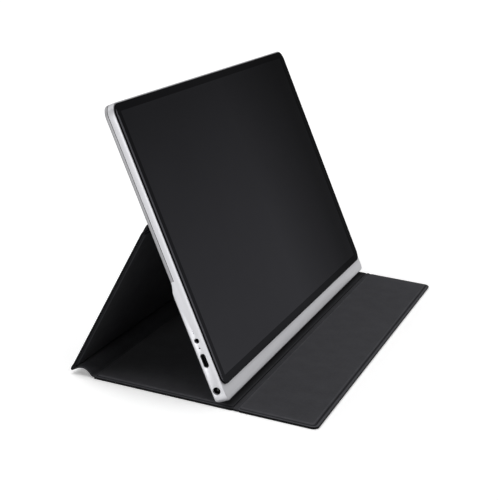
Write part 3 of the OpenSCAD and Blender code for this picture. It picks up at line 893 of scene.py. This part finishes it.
@dataclass(frozen=True)
class CoverPanel:
    """A stiff panel: leather outside, microfibre inside, thinned to a flat rim round its edge."""

    name: str
    body: str
    width: float
    length: float
    near_rim: float
    far_rim: float
    near_radius: float
    far_radius: float
    place: Matrix
    seed: float
    slack: float = 0.07 * MM
    cloth_scale: float = 22
    field_inset: float = 9

    # Cross-sections, with the finish up to the next place and each place's distance
    # inwards and height in millimetres. The distances are those for a rim of full width.
    # In the lining, the rim and crest finishes paint highlights, and the darker finish in the dip
    # between them adds painted shade to its flattened nap.
    LINING = ((Finishes.lining, ((3.42, 1.93), (3.42, 0.62))),
              (Finishes.edge, ((0, 0.62), (0, 1.3), (0.07, 1.46))),
              (Finishes.rim, ((0.18, 1.56), (0.5, 1.63), (1.1, 1.66))),
              (Finishes.pressed, ((1.75, 1.62), (2.1, 1.42), (2.35, 1.3), (2.6, 1.28),
                                  (2.75, 1.4))),
              (Finishes.lining, ((2.88, 1.65), (3.02, 1.98))),
              (Finishes.crest, ((3.2, 2.22), (3.45, 2.38), (3.85, 2.46))),
              (Finishes.lining, ((4.6, 2.49), (7.2, 2.5))))
    SKIN = ((Finishes.edge, ((0, 0.58), (0, 0.16), (0.05, 0.07))),
            (Finishes.skin, ((0.14, 0.02), (0.3, 0), (2.2, 0), (2.5, 0.07), (2.8, 0.07), (3.1, 0),
                             (4.2, 0))))

    def inset(self, distance: float) -> tuple[float, float, float]:
        """Distances inwards from sides, near and far end, for one in millimetres."""
        full = distance * MM
        return full, full * self.near_rim / LAYOUT.rim, full * self.far_rim / LAYOUT.rim

    def draw(self, name: str, section: Section, slack: float, *finishes: Finish) -> Piece:
        """Draws one side of the panel, with a level field inside either end of its section.

        Args:
            name: name of the piece.
            section: its cross-section.
            slack: height of the outer field's unevenness, like that of cloth.
            finishes: its finishes, with that of the fields first.

        Returns:
            The piece.
        """
        draft = Draft(*finishes)
        shape = RoundedPlate(self.width, self.length, self.near_radius, self.far_radius)
        rings = draft.loft(section, lambda d, z: shape.ring(*self.inset(d), z * MM))
        for ring, uneven in ((rings[-1], slack), (rings[0], 0)):
            grid = shape.grid(*self.inset(self.field_inset), draft.points[ring[0]].z)
            for point in (point for row in grid[1:-1] for point in row[1:-1]):
                where = Vector((point.x * self.cloth_scale, point.y * self.cloth_scale, self.seed))
                point.z += uneven * noise.noise(where)
            draft.close(ring, shape, grid, finishes[0], finishes[0])
        return draft.build(name, self.place)

    def build(self) -> None:
        """Makes both sides and sets them on their body."""
        cloth = self.draw(self.name + "_lining_cloth", self.LINING, self.slack, Finishes.lining,
                          Finishes.edge, Finishes.rim, Finishes.pressed, Finishes.crest)
        settle(cloth, self.body, self.name + "_lining")
        skin = self.draw(self.name + "_skin_leather", self.SKIN, 0, Finishes.skin, Finishes.edge)
        settle(skin, self.body, self.name + "_skin")


@dataclass(frozen=True)
class Strap:
    """A strip of leather across the cover, drawn by its side view."""

    name: str
    upper: tuple[Pair, ...]
    lower: tuple[Pair, ...]
    half_w: float
    end_half_w: float
    taper: Pair
    step: float = 12 * MM
    blunt: float = 0.5 * MM
    bevel: float = 0.15 * MM

    def section(self, x: float, share: float) -> list[tuple[float, float, float]]:
        """Places round the strip at one station.

        Args:
            x: distance from the middle.
            share: share of the full thickness that it has there.

        Returns:
            The upper face's places, then the lower face's, backwards.
        """
        upper, lower = [], []
        for i, pair in enumerate(zip(self.upper, self.lower)):
            along = i / (len(self.upper) - 1)
            reached = (along - self.taper[0]) / (self.taper[1] - self.taper[0])
            narrow = 1 - (1 - self.end_half_w / self.half_w) * min(1, max(0, reached))
            middle = [(a + b) / 2 for a, b in zip(*pair)]
            for side, place in zip((upper, lower), pair):
                side.append((x * narrow, *(m + (p - m) * share for m, p in zip(middle, place))))
        return upper + lower[::-1]

    def build(self) -> Piece:
        """Sweeps the side view along X, with slightly rounded ends.

        Returns:
            The strip.
        """
        draft = Draft(Finishes.skin, Finishes.lining, Finishes.edge)
        inner = self.half_w - self.blunt
        count = round(2 * inner / self.step)
        ends = [(self.half_w, 0.55), (self.half_w - self.bevel, 0.9)]
        stations = [(-x, share) for x, share in ends]
        stations += [(-inner + 2 * inner * i / count, 1) for i in range(count + 1)]
        rings = [draft.add(self.section(*station)) for station in stations + ends[::-1]]
        top = len(self.upper)
        for pair in zip(rings, rings[1:]):
            draft.bridge(*(ring[:top] for ring in pair), Finishes.lining, closed=False)
            draft.bridge(*(ring[top - 1:] + ring[:1] for ring in pair), Finishes.skin, closed=False)
        for ring in (rings[0], rings[-1]):
            draft.bridge(ring[:top], ring[:top - 1:-1], Finishes.edge, closed=False)
        return draft.build(self.name, Matrix.Translation((0, LAYOUT.shift, 0)), sharp=50)


def curve_points(places: Sequence[Pair], steps: int = 6) -> tuple[Pair, ...]:
    """A smooth line through places given as y and z.

    Args:
        places: the places to pass through.
        steps: points from each place to the next.

    Returns:
        The points of a Catmull-Rom curve.
    """
    ends = [places[0], *places, places[-1]]
    out: list[Pair] = []
    for near in zip(ends, ends[1:], ends[2:], ends[3:]):
        for t in (k / steps for k in range(steps)):
            out.append(tuple(0.5 * (2 * b + (c - a) * t + (2 * a - 5 * b + 4 * c - d) * t ** 2
                                    + (3 * b - a - 3 * c + d) * t ** 3)
                             for a, b, c, d in zip(*near)))
    return *out, places[-1]


@dataclass(frozen=True)
class Creases:
    """The soft strips at the four folds.

    Places are pairs of y and z, before the shift.
    """

    wide: float = LAYOUT.cover_w / 2 - 0.25 * MM
    narrow: float = LAYOUT.cover_w / 2 - LAYOUT.crease_inset
    groove_turn: float = 1.2 * MM
    groove_level: float = 0.7 * MM
    spine_turn: float = 1 * MM
    foot_turn: float = 1.2 * MM

    # In millimetres. Upper face of the groove's strip: distance from the fold, and height
    GROOVE = ((-1.7, 1.35), (-1.4, 1.6), (-0.8, 1.86), (0, 1.92), (0.8, 1.86), (1.4, 1.6),
              (1.7, 1.35))
    GROOVE_UNDER = 0.08
    # Faces of the strip round the foot: distance out from a layer of the strut, and height
    OVER = ((-0.55, 0.35), (-0.6, 0.65), (-0.6, 1.0), (-0.55, 1.6), (-0.4, 2.4), (-0.3, 3.4),
            (-0.2, 5.3), (-0.2, 6.4))
    HEEL = ((-0.15, -0.5), (0.7, -0.45), (1.35, 0.15), (1.58, 1.3), (1.56, 2.6), (1.34, 4.0))
    HEEL_TOP = ((0.02, 5.4), (-0.12, 6.5))

    def strip(self, name: str, node: str, faces: tuple[list[Pair], ...],
              turn: tuple[Pair, Pair], widths: Pair, taper: Pair = (0.75, 1)) -> None:
        """Draws a strip in the place of its solid.

        Args:
            name: name of the piece.
            node: the solid that it stands for.
            faces: places of its upper and its lower face.
            turn: places where the turn begins and ends; not used.
            widths: half widths at its start and end.
            taper: shares of its length between which the width changes.
        """
        upper, lower = (curve_points(face) for face in faces)
        piece = Strap(name, upper, lower, *widths, taper).build()
        start, end = ((0, y + LAYOUT.shift, z) for y, z in turn)
        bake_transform(piece)
        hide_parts(node)
        report(piece)

    def build_groove(self) -> None:
        """The shallow embossed groove between base and flap."""
        y, level = LAYOUT.groove_y, self.groove_level
        upper = [(y + d * MM, z * MM) for d, z in self.GROOVE]
        lower = [(place, self.GROOVE_UNDER * MM) for place, _ in upper]
        self.strip("flap_groove_strip", "flap_crease", (upper, lower),
                   ((y + self.groove_turn, level), (y - self.groove_turn, level)),
                   (self.wide, self.wide))

    def build_spine_front(self) -> None:
        """The fold between base and spine."""
        (y, z), half = LAYOUT.base_rear, LAYOUT.crease_t / 2
        start, point = LAYOUT.crease_half, LAYOUT.spine_point
        flat, past = y - start, start + 0.5 * MM
        upper, lower = ([(flat - 1.6 * MM, inside * MM), (flat, rim * MM),
                         point(0.4 * start, middle * half), point(start, over),
                         point(past, over * 0.9)]
                        for inside, rim, middle, over in ((1.3, 1.36, 0.6, half),
                                                          (0.7, 0.62, -0.9, -half)))
        self.strip("spine_front_strip", "spine_crease", (upper, lower),
                   ((y - self.spine_turn, z), (y + self.spine_turn, z)), (self.narrow, self.narrow))

    def build_foot(self) -> None:
        """The tight turn of the leather round the strut's foot."""
        point, strut = LAYOUT.spine_point, LAYOUT.strut_point
        half_t, t = LAYOUT.half_t, LAYOUT.crease_t
        last = LAYOUT.spine_len - LAYOUT.crease_half
        upper, lower = ([point(last - 0.5 * MM, over * 0.9), point(last, over)]
                        for over in (t / 2, -t / 2))
        for face, layer, places in ((upper, half_t - t, self.OVER), (lower, half_t - t, self.HEEL),
                                    (lower, half_t, self.HEEL_TOP)):
            face.extend(strut(layer + out * MM, up * MM) for out, up in places)
        y, z = LAYOUT.foot
        self.strip("strut_foot_strip", "strut_crease", (upper, lower),
                   ((y - self.foot_turn, z - self.foot_turn), strut(0, self.foot_turn)),
                   (self.wide, self.wide))

    def build_upper(self) -> None:
        """The fold between strut and back panel, which touches the housing's back."""
        strut, screen = LAYOUT.strut_point, LAYOUT.screen_point
        half_t, t = LAYOUT.half_t, LAYOUT.crease_t
        top = LAYOUT.strut_span - LAYOUT.crease_half
        inner = LAYOUT.thin_depth + LAYOUT.back_gap
        rim = inner + LAYOUT.panel_t - LAYOUT.rim_t
        v, bend = LAYOUT.back_v0, LAYOUT.back_v0 - LAYOUT.crease_half
        # Depth of each face on the screen, its layer of the strut, and where its end lies there
        upper, lower = ([strut(begin, top - 0.4 * MM), strut(half_t - inset, top),
                         screen(inner + over, LAYOUT.meeting(inset, inner + over)),
                         screen(inner + over, bend), screen(rim + over, v),
                         screen(rim + over, v + 0.3 * MM)]
                        for over, inset, begin in ((0, t, half_t - t), (t, 0, half_t - 0.05 * MM)))
        self.strip("strut_top_strip", "panel_crease", (upper, lower),
                   (strut(half_t - t / 2, top), screen(inner + t / 2, bend)),
                   (LAYOUT.housing_w / 2, LAYOUT.back_w / 2), (0.36, 0.44))

    def build(self) -> None:
        """Makes the four strips."""
        self.build_groove()
        self.build_spine_front()
        self.build_foot()
        self.build_upper()


# ---- node-built pieces

class NodeTree(Graph):
    """A geometry node tree, with a named input for each size and for its finish."""

    def __init__(self, name: str, sizes: dict[str, float]) -> None:
        """Starts a tree.

        Args:
            name: name of the tree.
            sizes: default of each named size.
        """
        super().__init__(bpy.data.node_groups.new(name, "GeometryNodeTree"))
        face = self.tree.interface
        face.new_socket("Geometry", in_out="INPUT", socket_type="NodeSocketGeometry")
        for label, value in sizes.items():
            made = face.new_socket(label, in_out="INPUT", socket_type="NodeSocketFloat")
            made.default_value = value
        face.new_socket("Finish", in_out="INPUT", socket_type="NodeSocketMaterial")
        face.new_socket("Geometry", in_out="OUTPUT", socket_type="NodeSocketGeometry")
        self.inputs = self.node("NodeGroupInput")

    def vector(self, *parts: object) -> Socket:
        """A vector of values or sockets."""
        return self.node("ShaderNodeCombineXYZ", dict(enumerate(parts)))[0]

    def move(self, mesh: Socket, by: Socket) -> Socket:
        """Moves a mesh by a vector."""
        return self.node("GeometryNodeTransform", {"Geometry": mesh, "Translation": by})[0]

    def close(self, mesh: Socket) -> None:
        """Ends the tree in Realize Instances, smooth faces and Set Material.

        Args:
            mesh: the finished geometry.
        """
        real = self.node("GeometryNodeRealizeInstances", {"Geometry": mesh})[0]
        smooth = self.node("GeometryNodeSetShadeSmooth", {"Geometry": real})[0]
        dressed = self.node("GeometryNodeSetMaterial", {"Geometry": smooth,
                                                        "Material": self.inputs["Finish"]})[0]
        self.node("NodeGroupOutput", {0: dressed})

    def grow(self, name: str, values: dict[str, float], finish: Finish, place: Matrix,
             seeds: Sequence[Sequence[float]] = ((0, 0, 0),)) -> Piece:
        """Runs the tree and keeps its result as a plain mesh.

        Args:
            name: name of the piece.
            values: value of each named size.
            finish: its finish.
            place: frame in which the tree draws.
            seeds: points that the tree starts from.

        Returns:
            The piece, at the origin, with no modifier left on it.
        """
        start = bpy.data.meshes.new(name + "_points")
        start.from_pydata([Vector(p) for p in seeds], [], [])
        host = bpy.data.objects.new(name + "_host", start)
        bpy.context.scene.collection.objects.link(host)
        modifier = host.modifiers.new(name, "NODES")
        modifier.node_group = self.tree
        given = {**values, "Finish": finish.material()}
        for item in self.tree.interface.items_tree:
            if item.item_type == "SOCKET" and item.in_out == "INPUT" and item.name in given:
                modifier[item.identifier] = given[item.name]
        graph = bpy.context.evaluated_depsgraph_get()
        mesh = bpy.data.meshes.new_from_object(host.evaluated_get(graph), depsgraph=graph)
        bpy.data.objects.remove(host)
        mesh.name = name
        mesh.transform(place)
        return wrap(name, mesh, 40)


@dataclass(frozen=True)
class ArchedSpine:
    """The soft strip between base and strut, arched between its two folds."""

    columns: int = 62
    rows: int = 19
    draw_in: float = 0.4 * MM
    overlap: float = 0.25 * MM
    bond: float = 0.02 * MM

    def sizes(self, low: float) -> dict[str, float]:
        """Value of each named input, for a layer whose lower face is at this height."""
        return {"Half Width": LAYOUT.cover_w / 2 - LAYOUT.crease_inset, "Chord": LAYOUT.spine_len,
                "Trim": LAYOUT.crease_half - self.overlap, "Rise": LAYOUT.spine_rise,
                "Draw In": self.draw_in, "Offset": low,
                "Thickness": LAYOUT.crease_t / 2 - self.bond}

    def tree(self) -> NodeTree:
        """A grid that is arched, narrowed at its crest and given a thickness.

        Returns:
            The tree.
        """
        t = NodeTree("arched_strip", self.sizes(0))
        size = t.inputs
        run = t.math("SUBTRACT", size["Chord"], t.math("MULTIPLY", size["Trim"], 2))
        grid = t.node("GeometryNodeMeshGrid", {
            "Size X": t.math("MULTIPLY", size["Half Width"], 2), "Size Y": run,
            "Vertices X": self.columns, "Vertices Y": self.rows})["Mesh"]
        x, y = t.node("ShaderNodeSeparateXYZ", {0: t.node("GeometryNodeInputPosition")[0]})[:2]
        along = t.math("ADD", y, t.math("DIVIDE", size["Chord"], 2))
        share = t.math("DIVIDE", along, size["Chord"])
        wave = t.math("SINE", t.math("MULTIPLY", share, math.pi))
        drawn = t.math("DIVIDE", t.math("MULTIPLY", size["Draw In"], wave), size["Half Width"])
        height = t.math("ADD", t.math("MULTIPLY", size["Rise"], wave), size["Offset"])
        bent = t.vector(t.math("MULTIPLY", x, t.math("SUBTRACT", 1, drawn)), along, height)
        arch = t.node("GeometryNodeSetPosition", {"Geometry": grid, "Position": bent})[0]
        thick = t.node("GeometryNodeExtrudeMesh", {
            "Mesh": arch, "Offset Scale": size["Thickness"], "Individual": False}, mode="FACES")
        under = t.node("GeometryNodeFlipFaces", {"Mesh": arch})
        both = t.node("GeometryNodeJoinGeometry", {0: [thick["Mesh"], under["Mesh"]]})[0]
        t.close(t.node("GeometryNodeMergeByDistance", {"Geometry": both, "Distance": 1e-6})[0])
        return t

    def build(self) -> None:
        """Makes the outer and the inner layer."""
        tree, (y, z) = self.tree(), LAYOUT.base_rear
        lean = math.atan2(LAYOUT.foot[1] - z, LAYOUT.foot[0] - y)
        place = Matrix.Translation((0, y + LAYOUT.shift, z)) @ Matrix.Rotation(lean, 4, "X")
        for side, finish, low in (("skin", Finishes.skin, -LAYOUT.crease_t / 2),
                                  ("lining", Finishes.lining, self.bond)):
            piece = tree.grow(f"spine_{side}_arch", self.sizes(low), finish, place)
            settle(piece, "spine", f"spine_{side}")


@dataclass(frozen=True)
class CoverScrews:
    """Countersunk screws with a cross recess in the lower back cover."""

    head_radius: float = 1.58 * MM
    head_thickness: float = 0.46 * MM
    shank_radius: float = 0.75 * MM
    shank_length: float = 3.2 * MM
    recess_length: float = 1.8 * MM
    recess_width: float = 0.42 * MM
    recess_depth: float = 0.3 * MM

    # Places across and up the screen, and depth of the head's seat under the cover
    ACROSS = (-170 * MM, -60 * MM, 60 * MM, 170 * MM)
    UP = (11 * MM, 75.3 * MM)
    SEAT = 0.58 * MM

    def sizes(self) -> dict[str, float]:
        """Value of each named input."""
        return {name.replace("_", " ").title(): size for name, size in asdict(self).items()}

    def tree(self) -> NodeTree:
        """A screw with a cross cut in its head, on every point.

        Returns:
            The tree.
        """
        t = NodeTree("cross_screws", self.sizes())
        size = t.inputs
        head = t.node("GeometryNodeMeshCone", {
            "Radius Top": size["Head Radius"], "Radius Bottom": size["Shank Radius"],
            "Depth": size["Head Thickness"], "Vertices": 28})[0]
        shank = t.node("GeometryNodeMeshCylinder", {
            "Radius": size["Shank Radius"], "Depth": size["Shank Length"], "Vertices": 16})[0]
        low = t.move(shank, t.vector(0, 0, t.math("MULTIPLY", size["Shank Length"], -0.5)))
        raised = t.vector(0, 0, size["Head Thickness"])
        deep = t.math("MULTIPLY", size["Recess Depth"], 2)
        cutters = []
        for x, y in (("Length", "Width"), ("Width", "Length")):
            block = t.vector(size["Recess " + x], size["Recess " + y], deep)
            cutters.append(t.move(t.node("GeometryNodeMeshCube", {"Size": block})[0], raised))
        cross = t.node("GeometryNodeJoinGeometry", {0: cutters})[0]
        body = t.node("GeometryNodeMeshBoolean", {"Mesh 2": [head, low]}, operation="UNION")[0]
        cut = t.node("GeometryNodeMeshBoolean", {"Mesh 1": body, "Mesh 2": cross},
                     operation="DIFFERENCE")[0]
        points = t.node("GeometryNodeMeshToPoints", {"Mesh": size["Geometry"]})[0]
        t.close(t.node("GeometryNodeInstanceOnPoints", {"Points": points, "Instance": cut})[0])
        return t

    def build(self) -> None:
        """Sets eight screws into their countersinks."""
        level = LAYOUT.thick_depth - self.SEAT
        seeds = [(x, -v, level) for x in self.ACROSS for v in self.UP]
        place = LAYOUT.screen_frame() @ Matrix.Rotation(-math.pi / 2, 4, "X")
        piece = self.tree().grow("back_cover_screws", self.sizes(), Finishes.steel, place, seeds)
        settle(piece, "screen", "cover_screws")


# ---- the monitor

@dataclass(frozen=True)
class CoverGlass:
    """The glass, with a softly ground edge, a black border and the display behind it."""

    width: float = 364 * MM
    low: float = 10.8 * MM
    high: float = 220 * MM
    radius: float = 8 * MM
    active_left: float = 174.5 * MM
    active_right: float = 169.9 * MM
    active_low: float = 17.2 * MM
    active_high: float = 214.2 * MM
    back_inset: float = 9 * MM
    # Width of the strip along the left edge that gets a painted highlight
    painted_highlight_width: float = 2.55 * MM
    corner_keep: float = 0.7

    # From the back edge round to the front: distance inwards and depth, in millimetres
    SECTION = ((Finishes.glass_wall, ((0.2, 1.1), (0.05, 1.06), (0, 0.98), (0, 0.3), (0.05, 0.22))),
               (Finishes.glass_border, ((0.4, 0.17), (1.0, 0.11), (1.8, 0.05), (2.5, 0.01),
                                        (3.0, 0))))

    def polish(self, draft: Draft) -> None:
        """Gives the border's faces along the left edge the bevel's lighter finish, a painted
        highlight on that edge alone.

        Args:
            draft: the glass so far.
        """
        light = self.painted_highlight_width - self.width / 2
        for i, (corners, finish) in enumerate(draft.faces):
            if finish == Finishes.glass_border and all(draft.points[c].x < light for c in corners):
                draft.faces[i] = corners, Finishes.glass_bevel_painted_highlight

    def build(self) -> None:
        """Draws the glass from its back round to its front face."""
        draft = Draft(Finishes.glass_active, Finishes.glass_border, Finishes.glass_bevel_painted_highlight,
                      Finishes.glass_wall)
        length, radius = self.high - self.low, self.radius
        shape = RoundedPlate(self.width, length, radius, radius, 20 * MM, 10)
        rings = draft.loft(self.SECTION, lambda d, z: shape.ring(
            d * MM, d * MM, d * MM, -z * MM, self.corner_keep))
        self.polish(draft)
        side = (self.width - self.active_left - self.active_right) / 2
        aside = Vector(((self.active_right - self.active_left) / 2, 0, 0))
        front = shape.grid(side, self.active_low - self.low, self.high - self.active_high, 0)
        back = shape.grid(*[self.back_inset] * 3, draft.points[rings[0][0]].z)
        draft.close(rings[-1], shape, ([point + aside for point in row] for row in front),
                    Finishes.glass_border, Finishes.glass_active)
        draft.close(rings[0], shape, back, Finishes.glass_border, Finishes.glass_border)
        place = (LAYOUT.screen_frame() @ Matrix.Translation((0, 0, self.low))
                 @ Matrix.Rotation(math.pi / 2, 4, "X"))
        settle(draft.build("front_cover_glass", place, sharp=40), "screen", "cover_glass")


@dataclass(frozen=True)
class EdgedCopy:
    """A housing part with its sharp edges softly broken."""

    node: str
    finish: Finish
    body: str = "screen"
    width: float = 0.1 * MM
    seam: Pair | None = None
    angle: float = math.radians(38)
    flat: float = math.radians(0.6)

    def paint_seam_shade(self, mesh: bpy.types.Mesh) -> None:
        """Paints the seam's shade: gives the faces between two depths the dark foam finish.

        Args:
            mesh: the part's mesh.
        """
        mesh.materials.append(Finishes.foam.material())
        back = LAYOUT.screen_frame().inverted()
        for face in mesh.polygons:
            if self.seam[0] < (back @ face.center).y < self.seam[1]:
                face.material_index = 1

    def build(self) -> None:
        """Merges a copy of the solid, breaks its edges and sets it on its body."""
        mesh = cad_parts[self.node].data.copy()
        mesh.materials.clear()
        mesh.materials.append(self.finish.material())
        mesh.polygons.foreach_set("material_index", [0] * len(mesh.polygons))
        work = bmesh.new()
        work.from_mesh(mesh)
        bmesh.ops.remove_doubles(work, verts=work.verts, dist=2e-6)
        bmesh.ops.dissolve_limit(work, angle_limit=self.flat, verts=work.verts, edges=work.edges)
        edges = [e for e in work.edges
                 if len(e.link_faces) == 2 and e.calc_face_angle(0) > self.angle]
        bmesh.ops.bevel(work, geom=edges, offset=self.width, segments=2, profile=0.6,
                        affect="EDGES", clamp_overlap=False)
        work.to_mesh(mesh)
        work.free()
        if mesh.attributes.get("custom_normal"):
            mesh.attributes.remove(mesh.attributes["custom_normal"])
        if self.seam:
            self.paint_seam_shade(mesh)
        settle(wrap(self.node + "_edged", mesh, 30), self.body, self.node)


@dataclass(frozen=True)
class Monitor:
    """The flat screen: glass, housing, covers, keys and what shows in its sockets."""

    key_edge: float = 0.15 * MM
    # Depths behind the glass between which the rear plate's faces get painted shade in the seam
    seam: Pair = (5.5 * MM, 6.62 * MM)

    # Finishes of the solids that keep their own mesh
    INSIDE = (
        (Finishes.foam, ("glass_gasket",)),
        (Finishes.display, ("lcd_cell",)),
        (Finishes.acrylic, ("light_guide", "led_strip")),
        (Finishes.smoked, ("status_light_pipe",)),
        (Finishes.steel, ("backlight_tray", "shield_can", "board_screws", "steel_plates")),
        (Finishes.socket_steel, ("usb_c_socket", "dc_pin")),
        (Finishes.inner_frame, ("mid_frame",)),
        (Finishes.mask, ("main_board", "button_board")),
        (Finishes.black, ("usb_c_tongue", "audio_jack", "dc_socket", "tact_switches",
                          "speaker_left", "speaker_right")),
        (Finishes.insulation, ("speaker_leads",)),
        (Finishes.film, ("display_flex",)),
        (Finishes.board, ("back_panel_board", "strut_board", "base_board", "flap_board")),
        (Finishes.nickel, ("back_panel_magnets", "flap_magnets")),
    )

    def build_housing(self) -> None:
        """The silver parts, with broken edges."""
        EdgedCopy("housing_frame", Finishes.silver).build()
        EdgedCopy("rear_plate", Finishes.rear_silver, seam=self.seam).build()
        EdgedCopy("lower_back_cover", Finishes.silver).build()
        for key in ("power_button", "menu_rocker"):
            EdgedCopy(key, Finishes.keys, key, self.key_edge).build()

    def dress_inside(self) -> None:
        """Gives the remaining solids their finishes."""
        for finish, names in self.INSIDE:
            for name in names:
                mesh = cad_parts[name].data
                mesh.materials.clear()
                mesh.materials.append(finish.material())
                LOG.info("%s: %s", name, finish.name)

    def build(self) -> None:
        """Makes the monitor."""
        CoverGlass().build()
        self.build_housing()
        CoverScrews().build()
        self.dress_inside()


@dataclass(frozen=True)
class Cover:
    """The folding leather cover."""

    corner: float = 5 * MM
    fold: float = 2.6 * MM
    base_rear: float = 1.4 * MM
    back_near: float = 0.8 * MM

    def panels(self) -> tuple[CoverPanel, ...]:
        """The four stiff panels.

        Returns:
            Base, flap, strut and back panel.
        """
        lay, end = LAYOUT, LAYOUT.end_rim
        strut_len = lay.strut_span - 2 * lay.crease_half
        back_len = lay.housing_h - lay.back_top - lay.back_v0
        return (
            CoverPanel("base", "base", lay.cover_w, lay.base_len, lay.fold_rim, end,
                       self.fold, self.base_rear, lay.flat_frame(lay.base_y0), 1),
            CoverPanel("flap", "flap", lay.cover_w, lay.flap_len, lay.rim, lay.fold_rim,
                       self.corner, self.fold, lay.flat_frame(lay.flap_y0), 7),
            CoverPanel("strut", "strut", lay.cover_w, strut_len, end, end,
                       self.fold, self.fold, lay.strut_frame(), 13),
            CoverPanel("back_panel", "screen", lay.back_w, back_len, end, lay.rim,
                       self.back_near, self.corner, lay.back_frame(), 19),
        )

    def build(self) -> None:
        """Makes the panels, the creases and the spine."""
        for panel in self.panels():
            panel.build()
        Creases().build()
        ArchedSpine().build()


# ---- the studio

@dataclass(frozen=True)
class Camera:
    """The viewpoint: angles in degrees, focal length and frame in pixels, sensor in millimetres."""

    place: tuple[float, float, float] = (-0.964392, -0.260489 + LAYOUT.shift, 0.36292)
    azimuth: float = -71.848
    elevation: float = 16.618
    roll: float = 5.469
    focal_px: float = 1279.832
    frame_px: float = 500
    sensor: float = 36
    clip: Pair = (0.01, 50)

    def build(self) -> None:
        """Sets the camera, aimed by its azimuth, elevation and roll."""
        az, el, ro = (math.radians(a) for a in (self.azimuth, self.elevation, self.roll))
        data = bpy.data.cameras.new("camera")
        data.sensor_width = data.sensor_height = self.sensor
        data.lens = self.focal_px / self.frame_px * self.sensor
        data.clip_start, data.clip_end = self.clip
        made = bpy.data.objects.new("camera", data)
        made.matrix_world = (Matrix.Translation(self.place) @ Matrix.Rotation(az, 4, "Z")
                             @ Matrix.Rotation(math.pi / 2 - el, 4, "X")
                             @ Matrix.Rotation(ro, 4, "Z"))
        bpy.context.scene.collection.objects.link(made)
        bpy.context.scene.camera = made


@dataclass(frozen=True)
class Studio:
    """Pale floor, white surroundings and soft light."""

    ambient: float = 0.035
    floor_white: float = 0.2
    floor_seen: float = 0.95
    floor_glow: float = 0.28
    floor_half: float = 6
    floor_drop: float = 0.2 * MM

    # Name, direction that it comes from, angle across it in degrees, and brightness that
    # it gives a white surface that faces it
    LIGHTS = (("side_light", (-1, 0.08, 0.06), 20, 0.71),
              ("front_light", (-0.1, -0.8, 0.6), 60, 0.15),
              ("top_light", (0, 0.27, 0.96), 60, 0.62),
              ("back_light", (0.1, 1, 0.45), 40, 0.2))

    def build_world(self) -> None:
        """White where it is seen or mirrored, softer as light."""
        world = bpy.data.worlds.new("white_surroundings")
        bpy.context.scene.world = world
        world.use_nodes = True
        graph = Graph(world.node_tree)
        lit, seen = (graph.node("ShaderNodeBackground", {"Color": WHITE, "Strength": level})[0]
                     for level in (self.ambient, 1))
        graph.node("ShaderNodeOutputWorld", {0: graph.if_shown(lit, seen)})

    def build_floor(self) -> None:
        """A wide floor that shows white and keeps the soft shadow."""
        half = self.floor_half
        mesh = bpy.data.meshes.new("floor")
        corners = ((-half, -half), (half, -half), (half, half), (-half, half))
        mesh.from_pydata([(*corner, -self.floor_drop) for corner in corners], [], [(0, 1, 2, 3)])
        floor = bpy.data.objects.new("floor", mesh)
        bpy.context.scene.collection.objects.link(floor)
        material = bpy.data.materials.new("floor_white")
        material.use_nodes = True
        graph = Graph(material.node_tree)
        lit, seen = (graph.node("ShaderNodeBsdfDiffuse", {"Color": grey(level)})[0]
                     for level in (self.floor_white, self.floor_seen))
        glow = graph.node("ShaderNodeEmission", {"Strength": self.floor_glow})[0]
        bright = graph.node("ShaderNodeAddShader", {0: seen, 1: glow})[0]
        graph.node("ShaderNodeOutputMaterial", {0: graph.if_shown(lit, bright)})
        mesh.materials.append(material)

    def build(self) -> None:
        """Sets world, floor and lights."""
        bpy.context.scene.view_settings.view_transform = "Standard"
        self.build_world()
        self.build_floor()
        for name, source, width, level in self.LIGHTS:
            data = bpy.data.lights.new(name, "SUN")
            data.angle = math.radians(width)
            data.energy = level * math.pi
            made = bpy.data.objects.new(name, data)
            made.matrix_world = (-Vector(source)).to_track_quat("-Z", "Y").to_matrix().to_4x4()
            bpy.context.scene.collection.objects.link(made)


def main() -> None:
    """Builds the object, then the studio round it."""
    logging.basicConfig(level=logging.INFO, format="%(name)s %(message)s")
    Camera().build()
    Cover().build()
    Monitor().build()
    Studio().build()


if __name__ == "__main__":
    main()
